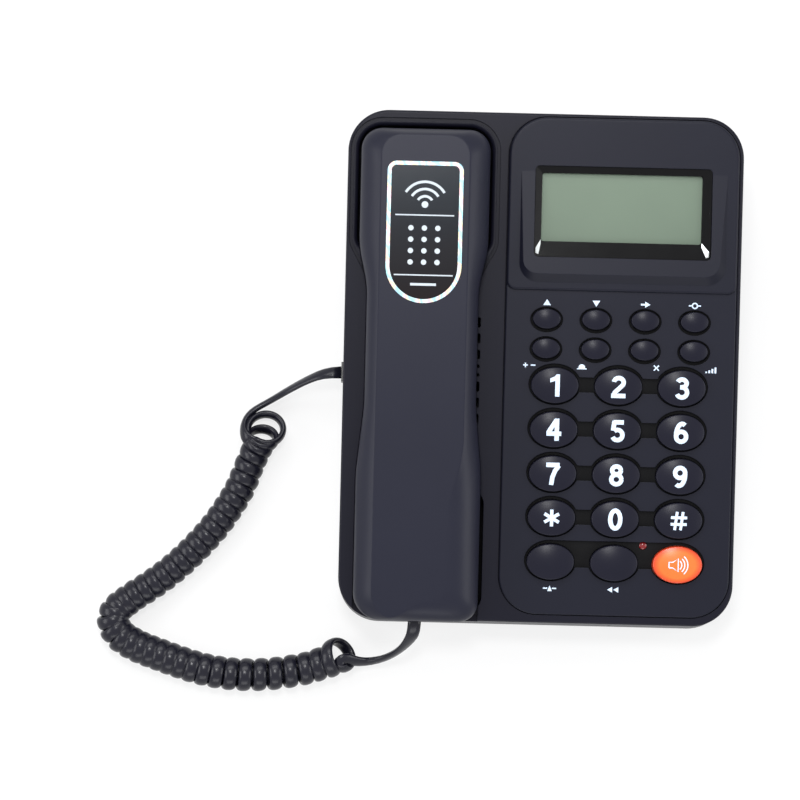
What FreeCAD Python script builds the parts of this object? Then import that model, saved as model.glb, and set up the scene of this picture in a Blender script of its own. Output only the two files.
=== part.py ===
"""Corded desk telephone: sloping base, keypad, display, handset in its cradle and curly cord.

Millimetres, +Z up, origin on the table under the middle of the base. The telephone faces -Y.
The sloping top of the base is called the deck. Deck coordinates are u (to the right), v (up the
slope) and w (out of the deck), with their origin at the middle of the deck.
"""
import FreeCAD, Part
import os
from math import acos, cos, degrees, exp, hypot, pi, radians, sin, sqrt, tan

Vec = FreeCAD.Vector

# Base housing
base_width = 155.0
base_length = 198.0
plan_corner = 16.0
deck_tilt = 7.5
front_height = 26.0
wall = 2.5
rim_round = 1.0
foot_height = 2.0
floor_thickness = 3.0
split_height = 10.0
bottom_round = 1.5

# Keypad panel: it takes what the handset's lane leaves of the width
handset_lane = 63.0
panel_margin = 1.6
panel_width = base_width - handset_lane - panel_margin
panel_length = base_length - 3.1
panel_u = base_width / 2 - panel_margin - panel_width / 2
panel_v = 0.85
panel_corner = 15.0
panel_proud = 0.8
panel_sink = 1.4
panel_groove = 0.25
panel_ledge = 2.6
panel_round = 0.7

# Display zone of the panel
block_low_v = panel_v + 0.1529 * panel_length
block_rise = 1.2
block_inset = 0.2
block_corner = 3.5
hood_rise = 2.4
hood_u = panel_u + 0.15
hood_half = 0.4465 * panel_width
hood_low_v = panel_v + 0.169 * panel_length
hood_high_v = panel_v + 0.4369 * panel_length
hood_end_v = panel_v + 0.391 * panel_length
hood_corner = 7.5
hood_left_lean = 1.6
hood_right_lean = 2.8
hood_low_lean = 3.3
hood_foot = 1.0
window_u = panel_u - 0.1
window_v = panel_v + 0.3112 * panel_length
window_width = 0.7633 * panel_width
window_height = 0.1816 * panel_length
window_corner = 1.6
window_thickness = 1.5
window_depth = 0.6
window_gap = 0.15
view_u = window_u - 0.5
view_v = window_v + 1.7
view_width = window_width - 6.2
view_height = window_height - 8.7
glass_margin = 1.6
glass_thickness = 1.6
holder_wall = 1.8
holder_back = 2.4
holder_gap = 0.15

# Keys
big_pitch_u = 0.27544 * panel_width
big_first_u = panel_u - 0.2782 * panel_width
big_pitch_v = 0.08876 * panel_length
big_first_v = panel_v - 0.0377 * panel_length
big_width = 18.6
big_height = 14.0
talk_width = 19.4
talk_height = 14.4
small_pitch_u = 0.2135 * panel_width
small_first_u = panel_u - 0.3202 * panel_width
small_pitch_v = 0.05952 * panel_length
small_first_v = panel_v + 0.09569 * panel_length
small_width = 10.9
small_height = 7.8
small_ring_width = 12.8
small_ring_height = 10.0
small_ring_shift = -0.3
big_ring_side = 0.65
big_ring_end = 0.8
big_ring_shift = 0.4
big_rise = 3.3
small_rise = 2.4
dome_drop = 1.5
small_dome_drop = 1.0
key_gap = 0.3
key_edge = 0.5
key_travel = 1.6
flange_lip = 0.6
flange_thickness = 1.0
stem_foot = 5.5
stem_diameter = 5.0
channel_height = 5.9
channel_shift = 0.4
talk_channel_height = 10.5
talk_channel_shift = 3.15
channel_depth = 1.0

# Rubber mat and keypad board under the keys
dome_diameter = 5.6
dome_foot = 0.8
dome_gap = 0.05
mat_top = 8.0
mat_thickness = 1.0
mat_margin = 2.4
board_thickness = 1.6
keypad_board_reach = 5.6
pillar_diameter = 5.0
pillar_inset = 2.5
lamp_u = big_first_u + 1.456 * big_pitch_u
lamp_v = big_first_v - 3.594 * big_pitch_v
lamp_diameter = 3.0
lamp_gap = 0.1
lamp_dome = 0.5
lamp_stand = 0.3

# Handset, seen from above its grip; its ends follow the ends of the base
handset_u = -base_width / 2 + 30.4
handset_top_v = base_length / 2 - 6.8
handset_low_v = -base_length / 2 + 0.5
ear_half = 25.1
grip_half = 21.7
mouth_half = 24.4
ear_corner = 8.3
mouth_corner = 9.0
ear_end_v = handset_top_v - 46.2
grip_high_v = handset_top_v - 61.2
grip_low_v = handset_low_v + 82.5
mouth_end_v = handset_low_v + 56.5
ear_sweep = 40.0
mouth_sweep = 80.0
grip_under = -2.0
handset_split = 6.0
plateau_height = 18.0
plateau_half = 17.25
plateau_sag = 2.0
shoulder_run = 9.0
shoulder_drop = 9.5
end_slope_run = 3.0
end_slope_drop = 8.0
low_end_run = 2.0
shell_wall = 2.2
cup_inset = 2.6
cup_bottom = -11.7
cup_length = 43.0
cup_corner = 9.0
cup_round = 1.5
grip_round = 2.0
handset_screw_length = 10.8
handset_screw_diameter = 2.0
handset_screw_head = 4.4
handset_screw_head_height = 1.8
handset_post = 6.0
receiver_diameter = 29.0
receiver_depth = 7.0
receiver_back_diameter = 16.0
receiver_back_depth = 2.0
microphone_diameter = 11.0
microphone_depth = 6.5
weight_width = 18.0
weight_thickness = 5.0
weight_length = 31.0

# Handset label
label_width = 29.4
label_length = 54.8
label_top_v = handset_top_v - 13.0
label_corner = 3.6
label_thickness = 0.25

# Cradle in the deck
cradle_depth = 3.0
cradle_gap = 0.3
ear_ring_gap = 3.55
ear_ring_width = 1.3
ear_ring_depth = 0.8
ear_ring_turn = 9.0
ear_ring_low_v = handset_top_v - 44.7
ear_ring_neck = 2.2
ear_ring_neck_v = handset_top_v - 53.5
ear_gap = 0.95
ear_top_gap = 1.3
ear_rim = 1.7
mouth_gap_left = 0.3
mouth_gap_right = 1.6
well_depth = 12.0
ear_well_low_v = handset_top_v - 48.2
mouth_well_high_v = handset_low_v + 50.5
mouth_well_low_v = handset_low_v + 2.2
well_corner = 6.0

# Loudspeaker and its slots
speaker_v = (ear_well_low_v + mouth_well_high_v) / 2 + 0.5
speaker_diameter = 0.489 * (ear_well_low_v - mouth_well_high_v)
speaker_depth = 10.0
speaker_magnet = 22.0
slot_pitch = 0.14 * speaker_diameter
slot_width = 3.9
slot_left = 20.0
slot_right = 23.1
slot_corner = 0.6
middle_slot_width = 1.3
middle_slot_offset = 1.7

# Hands-free microphone behind the front wall
handsfree_x = 30.0
handsfree_z = 15.0
handsfree_diameter = 6.0
handsfree_length = 5.0

# Hook switch
hook_v = speaker_v + speaker_diameter / 2 + 7.5
plunger_width = 12.0
plunger_length = 7.0
plunger_gap = 0.3
hook_travel = 4.0
plunger_flange = 2.0
plunger_flange_thickness = 1.2
plunger_stem = 3.0
carrier_depth = 17.0
carrier_width = 40.0
carrier_length = 13.0
carrier_thickness = 1.6
hook_post_offset = 15.5
hook_post_diameter = 5.0
spring_wire = 0.6
spring_diameter = 6.6
spring_turns = 5
switch_width = 6.0
switch_height = 5.0

# Sockets and plugs for the handset cord and the line
plug_width = 7.7
plug_height = 6.2
plug_length = 11.5
plug_gap = 0.12
plug_stand = 1.0
plug_inset = 0.4
socket_wall = 1.5
socket_depth = 13.0
base_socket_y = -1.0
base_socket_z = 16.5
handset_socket_w = 2.6
line_socket_x = 38.0
line_socket_z = 22.0
line_socket_width = 9.8
line_socket_height = 7.0
line_socket_depth = 14.0
line_body_margin = 2.6

# Base fastenings and feet
screw_diameter = 3.0
screw_head_diameter = 5.6
screw_head_height = 2.0
boss_diameter = 7.0
side_boss_x = base_width / 2 - 5.3
side_boss_y = base_length / 2 - 14.0
strip_boss_x = panel_u - panel_width / 2 - 0.3
strip_boss_y = base_length / 2 - 11.0
bridge_boss_v = mouth_well_high_v + 12.0
foot_diameter = 14.0
foot_sink = 0.6
foot_x = base_width / 2 - 17.5
foot_y = base_length / 2 - 17.0

# Main board
main_board_x = panel_u - 1.7
main_board_y = 2.0
main_board_width = panel_width - 18.4
main_board_length = panel_length - 54.9
main_board_base = 9.5
small_screw_diameter = 2.0
small_head_diameter = 4.2
small_head_height = 1.5
chip_width = 18.0
chip_length = 14.0
chip_height = 2.5
bell_diameter = 14.0
bell_height = 8.0
core_size = 14.0
core_height = 12.0
can_diameter = 6.3
can_height = 9.0
can_count = 4

# Battery compartment under the ear well
cell_diameter = 14.2
cell_length = 50.0
cell_count = 3
cell_gap = 0.5
battery_x = -base_width / 2 + 32.0
battery_y = base_length / 2 - 56.0
battery_wall = 1.6
contact_thickness = 0.8
door_thickness = 1.7
door_gap = 0.3
door_slide = 6.0
door_ledge = 1.5

# Wall-hanging keyholes in the underside
keyhole_x = 0.0
keyhole_spacing = 100.0
keyhole_entry = 9.0
keyhole_slot = 4.6
keyhole_rise = 8.0

# Handset cord, drawn with a round section: the middle line of its coil and its two straight leads
cord_tube = 2.7
coil_radius = 4.9
coil_turns = 40.625
start_angle = 30.0
bend_share = 0.497
bend_spread = 0.06
bend_spacing = 0.8
end_spread = 0.03
end_spacing = 0.5
end_lean = 4.5
end_growth = 0.5
lead_run = 5.0
coil_axis = [
    (-110.4, -30.2, 7.0), (-112.2, -36.4, 6.4), (-115.8, -44.2, 6.4), (-120.6, -52.2, 6.4),
    (-126.6, -60.2, 6.4), (-133.0, -67.2, 6.4), (-140.2, -73.6, 6.4), (-147.0, -79.4, 6.4),
    (-153.6, -84.2, 6.4), (-160.0, -88.6, 6.4), (-166.6, -93.9, 6.4), (-168.1, -100.6, 6.4),
    (-165.1, -106.7, 6.4), (-157.4, -110.3, 6.4), (-149.9, -113.1, 6.4), (-141.4, -116.2, 6.4),
    (-132.6, -118.8, 6.4), (-123.0, -120.9, 6.4), (-113.8, -121.7, 6.4), (-104.3, -121.3, 6.4),
    (-97.2, -119.4, 6.5), (-91.4, -116.8, 6.8), (-86.8, -114.5, 7.4)]
base_lead_route = [
    (-91.6, -3.2, 12.6), (-99.2, -7.0, 7.4), (-106.6, -10.6, 3.8), (-113.0, -14.8, 3.2)]
handset_lead_route = [
    (-64.6, -117.0, 5.2), (-58.0, -115.0, 9.6), (-52.2, -111.6, 16.6), (-48.4, -108.2, 23.6)]

tilt = radians(deck_tilt)
deck_mid_height = front_height + base_length / 2 * tan(tilt)
DECK = FreeCAD.Placement(Vec(0, 0, deck_mid_height), FreeCAD.Rotation(Vec(1, 0, 0), deck_tilt))
far = 400.0


# Plain geometry helpers

def rounded_wire(corners, height):
    """Closed wire at one height: straight sides with a tangent arc of the given radius at each corner."""
    count = len(corners)
    starts, ends, middles = [], [], []
    for i, (x, y, radius) in enumerate(corners):
        here = Vec(x, y, height)
        before = Vec(corners[i - 1][0], corners[i - 1][1], height)
        after = Vec(corners[(i + 1) % count][0], corners[(i + 1) % count][1], height)
        a = (before - here).normalize()
        b = (after - here).normalize()
        opening = acos(max(-1.0, min(1.0, a.dot(b))))
        reach = radius / tan(opening / 2)
        inward = (a + b).normalize()
        starts.append(here + a * reach)
        ends.append(here + b * reach)
        middles.append(here + inward * (radius / sin(opening / 2) - radius))
    edges = []
    for i in range(count):
        edges.append(Part.Arc(starts[i], middles[i], ends[i]).toShape())
        following = starts[(i + 1) % count]
        if ends[i].distanceToPoint(following) > 1e-6:
            edges.append(Part.LineSegment(ends[i], following).toShape())
    return Part.Wire(edges)


def prism(corners, low, high):
    """Solid with a rounded outline between two heights."""
    return Part.Face(rounded_wire(corners, low)).extrude(Vec(0, 0, high - low))


def rectangle(x0, y0, x1, y1, radius):
    """Corner list of a rounded rectangle."""
    return [(x0, y0, radius), (x1, y0, radius), (x1, y1, radius), (x0, y1, radius)]


def block(x0, y0, z0, x1, y1, z1):
    """Plain box between two corners."""
    return Part.makeBox(x1 - x0, y1 - y0, z1 - z0, Vec(x0, y0, z0))


def rod(x, y, z0, z1, diameter):
    """Upright cylinder."""
    return Part.makeCylinder(diameter / 2, z1 - z0, Vec(x, y, z0))


def oval_prism(x, y, width, height, low, high):
    """Solid with an elliptical outline, its long axis along the first coordinate."""
    ring = Part.Ellipse(Vec(x, y, low), width / 2, height / 2).toShape()
    return Part.Face(Part.Wire([ring])).extrude(Vec(0, 0, high - low))


def fuse(first, *others):
    """One solid from pieces that overlap or touch."""
    return first.multiFuse(list(others)).removeSplitter()


def cut(first, *others):
    """First solid with the others taken away."""
    return first.cut(list(others))


def on_deck(shape):
    """Shape given in deck coordinates, put where the deck is."""
    moved = shape.copy()
    moved.Placement = DECK.multiply(moved.Placement)
    return moved


def off_deck(shape):
    """Shape given in table coordinates, written in deck coordinates."""
    moved = shape.copy()
    moved.Placement = DECK.inverse().multiply(moved.Placement)
    return moved


def deck_point(u, v, w):
    """Table coordinates of a deck point."""
    return DECK.multVec(Vec(u, v, w))


def level_edges(shape, height, along=None):
    """Edges of a shape that lie wholly at one height."""
    found = []
    for edge in shape.Edges:
        box = edge.BoundBox
        if abs(box.ZMin - height) < 1e-4 and abs(box.ZMax - height) < 1e-4:
            found.append(edge)
    return found


# Base housing

def plan_corners(inset):
    """Outline of the base from above, drawn in by a wall or a gap."""
    x, y = base_width / 2 - inset, base_length / 2 - inset
    return rectangle(-x, -y, x, y, max(plan_corner - inset, 0.5))


def above_deck(depth):
    """Everything higher than a plane at a depth below the deck."""
    return on_deck(block(-far, -far, -depth, far, far, far))


def handset_corners(grow, front_extra=0.0):
    """Handset outline in deck coordinates, grown by a clearance."""
    side = [
        (mouth_half + grow, handset_low_v - grow - front_extra, mouth_corner + grow),
        (mouth_half + grow, mouth_end_v, mouth_sweep),
        (grip_half + grow, grip_low_v, mouth_sweep),
        (grip_half + grow, grip_high_v, ear_sweep),
        (ear_half + grow, ear_end_v, ear_sweep),
        (ear_half + grow, handset_top_v + grow, ear_corner + grow),
    ]
    right = [(handset_u + u, v, r) for u, v, r in side]
    left = [(handset_u - u, v, r) for u, v, r in reversed(side)]
    return right + left


def offset_corners(corners, grow):
    """Corner list with every side moved out by a distance; the list runs counter-clockwise."""
    moved = []
    for i, (x, y, radius) in enumerate(corners):
        x_before, y_before, _ = corners[i - 1]
        x_after, y_after, _ = corners[(i + 1) % len(corners)]
        first = Vec(x - x_before, y - y_before, 0).normalize()
        second = Vec(x_after - x, y_after - y, 0).normalize()
        shift = Vec(first.y + second.y, -first.x - second.x, 0) * (grow / (1 + first.dot(second)))
        swell = grow if first.x * second.y > first.y * second.x else -grow
        moved.append((x + shift.x, y + shift.y, radius + swell))
    return moved


def ear_ring_corners():
    """Middle line of the fine groove around the ear end; below, it turns in beneath the handset."""
    half = ear_half + ear_ring_gap
    neck = grip_half + ear_ring_neck
    fall = (ear_ring_low_v - ear_ring_neck_v) / (half - neck)
    low, inner = ear_ring_neck_v - 2 * ear_ring_turn, grip_half - ear_ring_neck
    top = handset_top_v + ear_ring_gap + ear_top_gap - ear_gap
    side = [(inner, low, 1.0), (inner, ear_ring_neck_v - fall * (neck - inner), 3.0),
            (half, ear_ring_low_v, ear_ring_turn), (half, top, ear_corner + ear_ring_gap)]
    right = [(handset_u + u, v, r) for u, v, r in side]
    left = [(handset_u - u, v, r) for u, v, r in reversed(side)]
    return right + left


def ear_ring():
    half_width = ear_ring_width / 2
    groove = prism(offset_corners(ear_ring_corners(), half_width), -ear_ring_depth, far)
    return groove.cut(prism(offset_corners(ear_ring_corners(), -half_width), -far, 2 * far))


def wall_middle_v(side):
    """Place of the middle of the front or rear wall, half way down the wells."""
    reach = side * (base_length - wall) / 2
    return (reach - (well_depth + wall) / 2 * sin(tilt)) / cos(tilt)


def ear_well_corners(grow):
    """Deep well for the ear cup."""
    half = ear_half + ear_gap + grow
    low, high = ear_well_low_v - grow, handset_top_v + ear_top_gap + grow
    top = ear_corner + ear_gap + grow
    return [(handset_u - half, low, well_corner + grow), (handset_u + half, low, well_corner + grow),
            (handset_u + half, high, top), (handset_u - half, high, top)]


def ear_tub_corners():
    """Tub around the ear well; it runs into the rear wall."""
    (left, low, r), (right, _, _), (_, _, top), _ = ear_well_corners(wall)
    high = wall_middle_v(1)
    return [(left, low, r), (right, low, r), (right, high, top), (left, high, top)]


def ear_collar():
    """Edge of the ear well, rounded over towards the handset."""
    outer = prism(ear_well_corners(ear_rim), -ear_rim, 0)
    collar = outer.cut(prism(ear_well_corners(0), -far, far))
    reach = ear_half + ear_gap + ear_rim / 2
    inner = [e for e in level_edges(collar, 0) if within_ear(e, reach)]
    return collar.makeFillet(0.94 * ear_rim, inner)


def within_ear(edge, reach):
    """True for an edge on the inner side of the ear well's collar."""
    box = edge.BoundBox
    low, high = ear_well_low_v - ear_rim / 2, handset_top_v + ear_top_gap + ear_rim / 2
    return (box.XMin > handset_u - reach and box.XMax < handset_u + reach
            and box.YMin > low and box.YMax < high)


def mouth_well_corners(grow):
    """Deep well for the mouth cup, wider on the keypad's side; its tub runs into the front wall."""
    left = handset_u - mouth_half - mouth_gap_left - grow
    right = handset_u + mouth_half + mouth_gap_right + grow
    low = wall_middle_v(-1) if grow else mouth_well_low_v
    return rectangle(left, low, right, mouth_well_high_v + grow, well_corner + grow)


def panel_corners(grow):
    """Outline of the keypad panel."""
    half_u, half_v = panel_width / 2 + grow, panel_length / 2 + grow
    return rectangle(panel_u - half_u, panel_v - half_v, panel_u + half_u, panel_v + half_v,
                     panel_corner + grow)


def case_screw_places():
    """Table positions of the screws that hold the two base shells together."""
    bridge = deck_point(handset_u, bridge_boss_v, -cradle_depth)
    return [(side_boss_x, -side_boss_y), (side_boss_x, side_boss_y), (strip_boss_x, -strip_boss_y),
            (strip_boss_x, strip_boss_y), (handset_u, bridge.y)]


def hook_post_places():
    return [(handset_u - hook_post_offset, hook_v), (handset_u + hook_post_offset, hook_v)]


def slot_places():
    """Offset from the loudspeaker's middle and width of each slot."""
    outer = [(side * row * slot_pitch, slot_width) for row in (1, 2, 3) for side in (-1, 1)]
    middle = [(side * middle_slot_offset, middle_slot_width) for side in (-1, 1)]
    return outer + middle


def base_upper_shell():
    outer = prism(plan_corners(0), split_height, 3 * front_height).cut(above_deck(0))
    rim = [e for e in outer.Edges if on_deck_plane(e)]
    outer = outer.makeFillet(rim_round, rim)
    cavity = prism(plan_corners(wall), split_height - 1, 3 * front_height).cut(above_deck(wall))
    bridge = block(-far, mouth_well_high_v - well_corner, -far, far, ear_well_low_v + well_corner, far)
    channel = on_deck(prism(handset_corners(cradle_gap + wall), -cradle_depth - wall, 0).common(bridge))
    ear_tub = on_deck(prism(ear_tub_corners(), -well_depth - wall, -wall / 2))
    mouth_tub = on_deck(prism(mouth_well_corners(wall), -well_depth - wall, -wall / 2))
    shell = outer.cut(cavity)
    shell = fuse(shell, *[tub.common(outer) for tub in (channel, ear_tub, mouth_tub)])
    bosses = []
    for x, y in case_screw_places():
        post = rod(x, y, split_height, 3 * front_height, boss_diameter)
        if x > panel_u:
            post = post.cut(above_deck(mat_top + mat_thickness + board_thickness + 2.4))
        elif x == handset_u:
            post = post.cut(above_deck(cradle_depth + 0.5))
        else:
            post = post.cut(above_deck(wall - 0.5))
        bosses.append(post.common(outer))
    posts = [on_deck(rod(u, v, -carrier_depth, -cradle_depth - 0.5, hook_post_diameter))
             for u, v in hook_post_places()]
    shell = fuse(shell, *bosses, *posts)
    shell = shell.cut(on_deck(prism(ear_well_corners(ear_rim), -ear_rim, far)))
    shell = fuse(shell, on_deck(ear_collar()))
    tools = [
        on_deck(prism(handset_corners(cradle_gap, front_extra=12.0), -cradle_depth, far)),
        on_deck(ear_ring()),
        on_deck(prism(ear_well_corners(0), -well_depth, far)),
        on_deck(prism(mouth_well_corners(0), -well_depth, far)),
        on_deck(prism(panel_corners(panel_groove), -panel_sink, far)),
        on_deck(prism(panel_corners(-panel_ledge), -2 * wall, far)),
        on_deck(plunger_hole()),
        base_socket_hole(),
        line_socket_hole(),
        handsfree_hole(),
    ]
    for offset, width in slot_places():
        v = speaker_v + offset
        tools.append(on_deck(prism(rectangle(
            handset_u - slot_left, v - width / 2, handset_u + slot_right, v + width / 2,
            slot_corner), -cradle_depth - 2 * wall, 1)))
    for x, y in case_screw_places():
        tools.append(rod(x, y, split_height - 1, split_height + 5, screw_diameter - 0.4))
    for u, v in hook_post_places():
        tools.append(on_deck(rod(u, v, -carrier_depth - 1, -carrier_depth + 6, small_screw_diameter)))
    return cut(shell, *tools)


def on_deck_plane(edge):
    """True for an edge whose points all lie in the plane of the deck."""
    for vertex in edge.Vertexes:
        if abs(DECK.inverse().multVec(vertex.Point).z) > 1e-4:
            return False
    return True


def base_lower_shell():
    outer = prism(plan_corners(0), foot_height, split_height)
    outer = outer.makeFillet(bottom_round, level_edges(outer, foot_height))
    floor_top = foot_height + floor_thickness
    shell = outer.cut(prism(plan_corners(wall), floor_top, split_height + 1))
    posts = [rod(x, y, floor_top - 0.5, split_height, boss_diameter) for x, y in case_screw_places()]
    posts += [rod(x, y, floor_top - 0.5, main_board_base, pillar_diameter)
              for x, y in main_screw_places()]
    length, depth = battery_box_size()
    box_top = cell_low() + cell_diameter + cell_gap + battery_wall
    frame = block(battery_x - length / 2 - battery_wall, battery_y - depth / 2 - battery_wall, floor_top - 0.5,
                  battery_x + length / 2 + battery_wall, battery_y + depth / 2 + battery_wall, box_top)
    room = block(battery_x - length / 2, battery_y - depth / 2, foot_height - 1,
                 battery_x + length / 2, battery_y + depth / 2, box_top - battery_wall)
    shell = fuse(shell, frame, *posts)
    tools = [room, door_pocket()]
    for x, y in foot_places():
        tools.append(rod(x, y, foot_height - 1, foot_height + foot_sink, foot_diameter + 0.2))
    for x, y in case_screw_places():
        tools.append(rod(x, y, foot_height - 1, split_height + 1, screw_diameter + 0.3))
        tools.append(rod(x, y, foot_height - 1, foot_height + screw_head_height + 0.4, screw_head_diameter + 0.6))
    for x, y in main_screw_places():
        tools.append(rod(x, y, floor_top, main_board_base + 1, small_screw_diameter))
    for y in (-keyhole_spacing / 2, keyhole_spacing / 2):
        tools.append(rod(keyhole_x, y - keyhole_rise, foot_height - 1, floor_top + 1, keyhole_entry))
        tools.append(prism(rectangle(keyhole_x - keyhole_slot / 2, y - keyhole_rise, keyhole_x + keyhole_slot / 2,
                                     y + keyhole_slot / 2, keyhole_slot / 2 - 0.01),
                           foot_height - 1, floor_top + 1))
    return cut(shell, *tools)


def foot_places():
    return [(sx * foot_x, sy * foot_y) for sx in (-1, 1) for sy in (-1, 1)]


def base_feet():
    feet = []
    for x, y in foot_places():
        pad = rod(x, y, 0, foot_height + foot_sink, foot_diameter)
        feet.append(pad.makeFillet(0.5, level_edges(pad, 0)))
    return Part.makeCompound(feet)


def screw(x, y, tip, head_top, head_height, diameter, head_diameter):
    """Screw standing up from a head at its lower end."""
    return fuse(rod(x, y, head_top - head_height, head_top, head_diameter),
                rod(x, y, head_top - 0.2, tip, diameter))


def case_screws():
    head_top = foot_height + 0.4 + screw_head_height
    return Part.makeCompound([
        screw(x, y, split_height + 4.5, head_top, screw_head_height, screw_diameter - 0.4, screw_head_diameter)
        for x, y in case_screw_places()])


# Battery compartment

def battery_box_size():
    length = cell_length + 2 * contact_thickness + 2 * cell_gap
    depth = cell_count * (cell_diameter + cell_gap) + cell_gap
    return length, depth


def door_size():
    length, depth = battery_box_size()
    return length + 2 * door_ledge, depth + 2 * door_ledge


def door_pocket():
    """Shallow pocket for the door, longer at the rear so that the door can slide open."""
    length, depth = door_size()
    return block(battery_x - length / 2 - door_gap, battery_y - depth / 2 - door_gap, foot_height - 1,
                 battery_x + length / 2 + door_gap, battery_y + depth / 2 + door_gap + door_slide,
                 foot_height + door_thickness + door_gap)


def battery_door():
    length, depth = door_size()
    door = block(battery_x - length / 2, battery_y - depth / 2, foot_height,
                 battery_x + length / 2, battery_y + depth / 2, foot_height + door_thickness)
    grooves = [block(battery_x - 8, battery_y - depth / 2 + 3 + 2.4 * i, foot_height - 1,
                     battery_x + 8, battery_y - depth / 2 + 4.2 + 2.4 * i, foot_height + 0.6)
               for i in range(5)]
    return cut(door, *grooves)


def cell_low():
    """Height of the underside of the battery cells, just above the door."""
    return foot_height + door_thickness + cell_gap


def battery_cells():
    cells = []
    _, depth = battery_box_size()
    start = battery_x - cell_length / 2
    for i in range(cell_count):
        y = battery_y - depth / 2 + cell_gap + cell_diameter / 2 + i * (cell_diameter + cell_gap)
        centre = Vec(start, y, cell_low() + cell_diameter / 2)
        can = Part.makeCylinder(cell_diameter / 2, cell_length - 1.5, centre, Vec(1, 0, 0))
        nub = Part.makeCylinder(2.7, 2.0, centre + Vec(cell_length - 2.0, 0, 0), Vec(1, 0, 0))
        cell = fuse(can, nub)
        if i % 2:
            cell = cell.rotated(Vec(battery_x, y, 0), Vec(0, 0, 1), 180)
        cells.append(cell)
    return Part.makeCompound(cells)


def battery_contacts():
    """Spring plates at both ends of the cells."""
    length, depth = battery_box_size()
    low = cell_low()
    plates = []
    for side in (-1, 1):
        outer = battery_x + side * length / 2
        inner = outer - side * contact_thickness
        plates.append(block(min(outer, inner), battery_y - depth / 2 + 1, low,
                            max(outer, inner), battery_y + depth / 2 - 1, low + cell_diameter - 2))
    return Part.makeCompound(plates)


# Keypad panel and display

def big_key_places():
    """Name, place and size of the fifteen large keys."""
    names = ["key_1", "key_2", "key_3", "key_4", "key_5", "key_6", "key_7", "key_8", "key_9",
             "key_star", "key_0", "key_hash", "key_flash", "key_redial", "key_talk"]
    places = []
    for i, name in enumerate(names):
        u = big_first_u + (i % 3) * big_pitch_u
        v = big_first_v - (i // 3) * big_pitch_v
        talk = name == "key_talk"
        places.append((name, u, v, talk_width if talk else big_width, talk_height if talk else big_height))
    return places


def small_key_places():
    """Name and place of the eight small keys."""
    names = ["key_up", "key_down", "key_out", "key_set", "key_calculator", "key_ring", "key_delete", "key_volume"]
    return [(name, small_first_u + (i % 4) * small_pitch_u, small_first_v - (i // 4) * small_pitch_v)
            for i, name in enumerate(names)]


def key_solid(u, v, width, height, rise, drop):
    """Oval cap with a domed top, a lip under the panel and a stem down to the rubber mat."""
    crown = panel_proud + rise
    radius = ((width / 2) ** 2 + drop ** 2) / (2 * drop)
    cap = oval_prism(u, v, width, height, -panel_sink - key_gap - flange_thickness / 2, crown + 1)
    cap = cap.common(Part.makeSphere(radius, Vec(u, v, crown - radius)))
    top = max(cap.Faces, key=lambda face: face.CenterOfMass.z)
    cap = cap.makeFillet(key_edge, top.OuterWire.Edges)
    lip = oval_prism(u, v, width + 2 * flange_lip, height + 2 * flange_lip,
                     -panel_sink - key_gap - flange_thickness, -panel_sink - key_gap)
    stem = rod(u, v, -stem_foot, -panel_sink - key_gap - flange_thickness / 2, stem_diameter)
    return on_deck(fuse(cap, lip, stem))


def window_rectangle(grow):
    return rectangle(window_u - window_width / 2 - grow, window_v - window_height / 2 - grow,
                     window_u + window_width / 2 + grow, window_v + window_height / 2 + grow,
                     window_corner + grow)


def view_rectangle(grow):
    return rectangle(view_u - view_width / 2 - grow, view_v - view_height / 2 - grow,
                     view_u + view_width / 2 + grow, view_v + view_height / 2 + grow, 1.0)


def hood_top():
    return panel_proud + block_rise + hood_rise


def window_top():
    return panel_proud + block_rise - window_depth


def hood_form():
    """Wedge over the display: its sides lean in and its top sinks into the raised zone towards the rear."""
    base, top = panel_proud + block_rise, hood_top()
    share = -hood_foot / hood_rise
    left, right = hood_u - hood_half, hood_u + hood_half

    def outline(lean, corner, height):
        return rounded_wire(rectangle(left + hood_left_lean * lean, hood_low_v + hood_low_lean * lean,
                                      right - hood_right_lean * lean, hood_high_v, corner), height)

    slope = hood_rise / (hood_end_v - hood_low_v - hood_low_lean)
    body = Part.makeLoft([outline(share, hood_corner + 0.8, base - hood_foot),
                          outline(1, hood_corner - 2.0, top)], True, True)
    inner_v = hood_low_v + hood_low_lean
    above = [Vec(-far, inner_v - far, top + slope * far), Vec(-far, inner_v + far, top - slope * far),
             Vec(-far, inner_v + far, top + far), Vec(-far, inner_v - far, top + far + slope * far)]
    roof_block = Part.Face(Part.makePolygon(above + [above[0]])).extrude(Vec(2 * far, 0, 0))
    return body.cut(roof_block)


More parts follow.
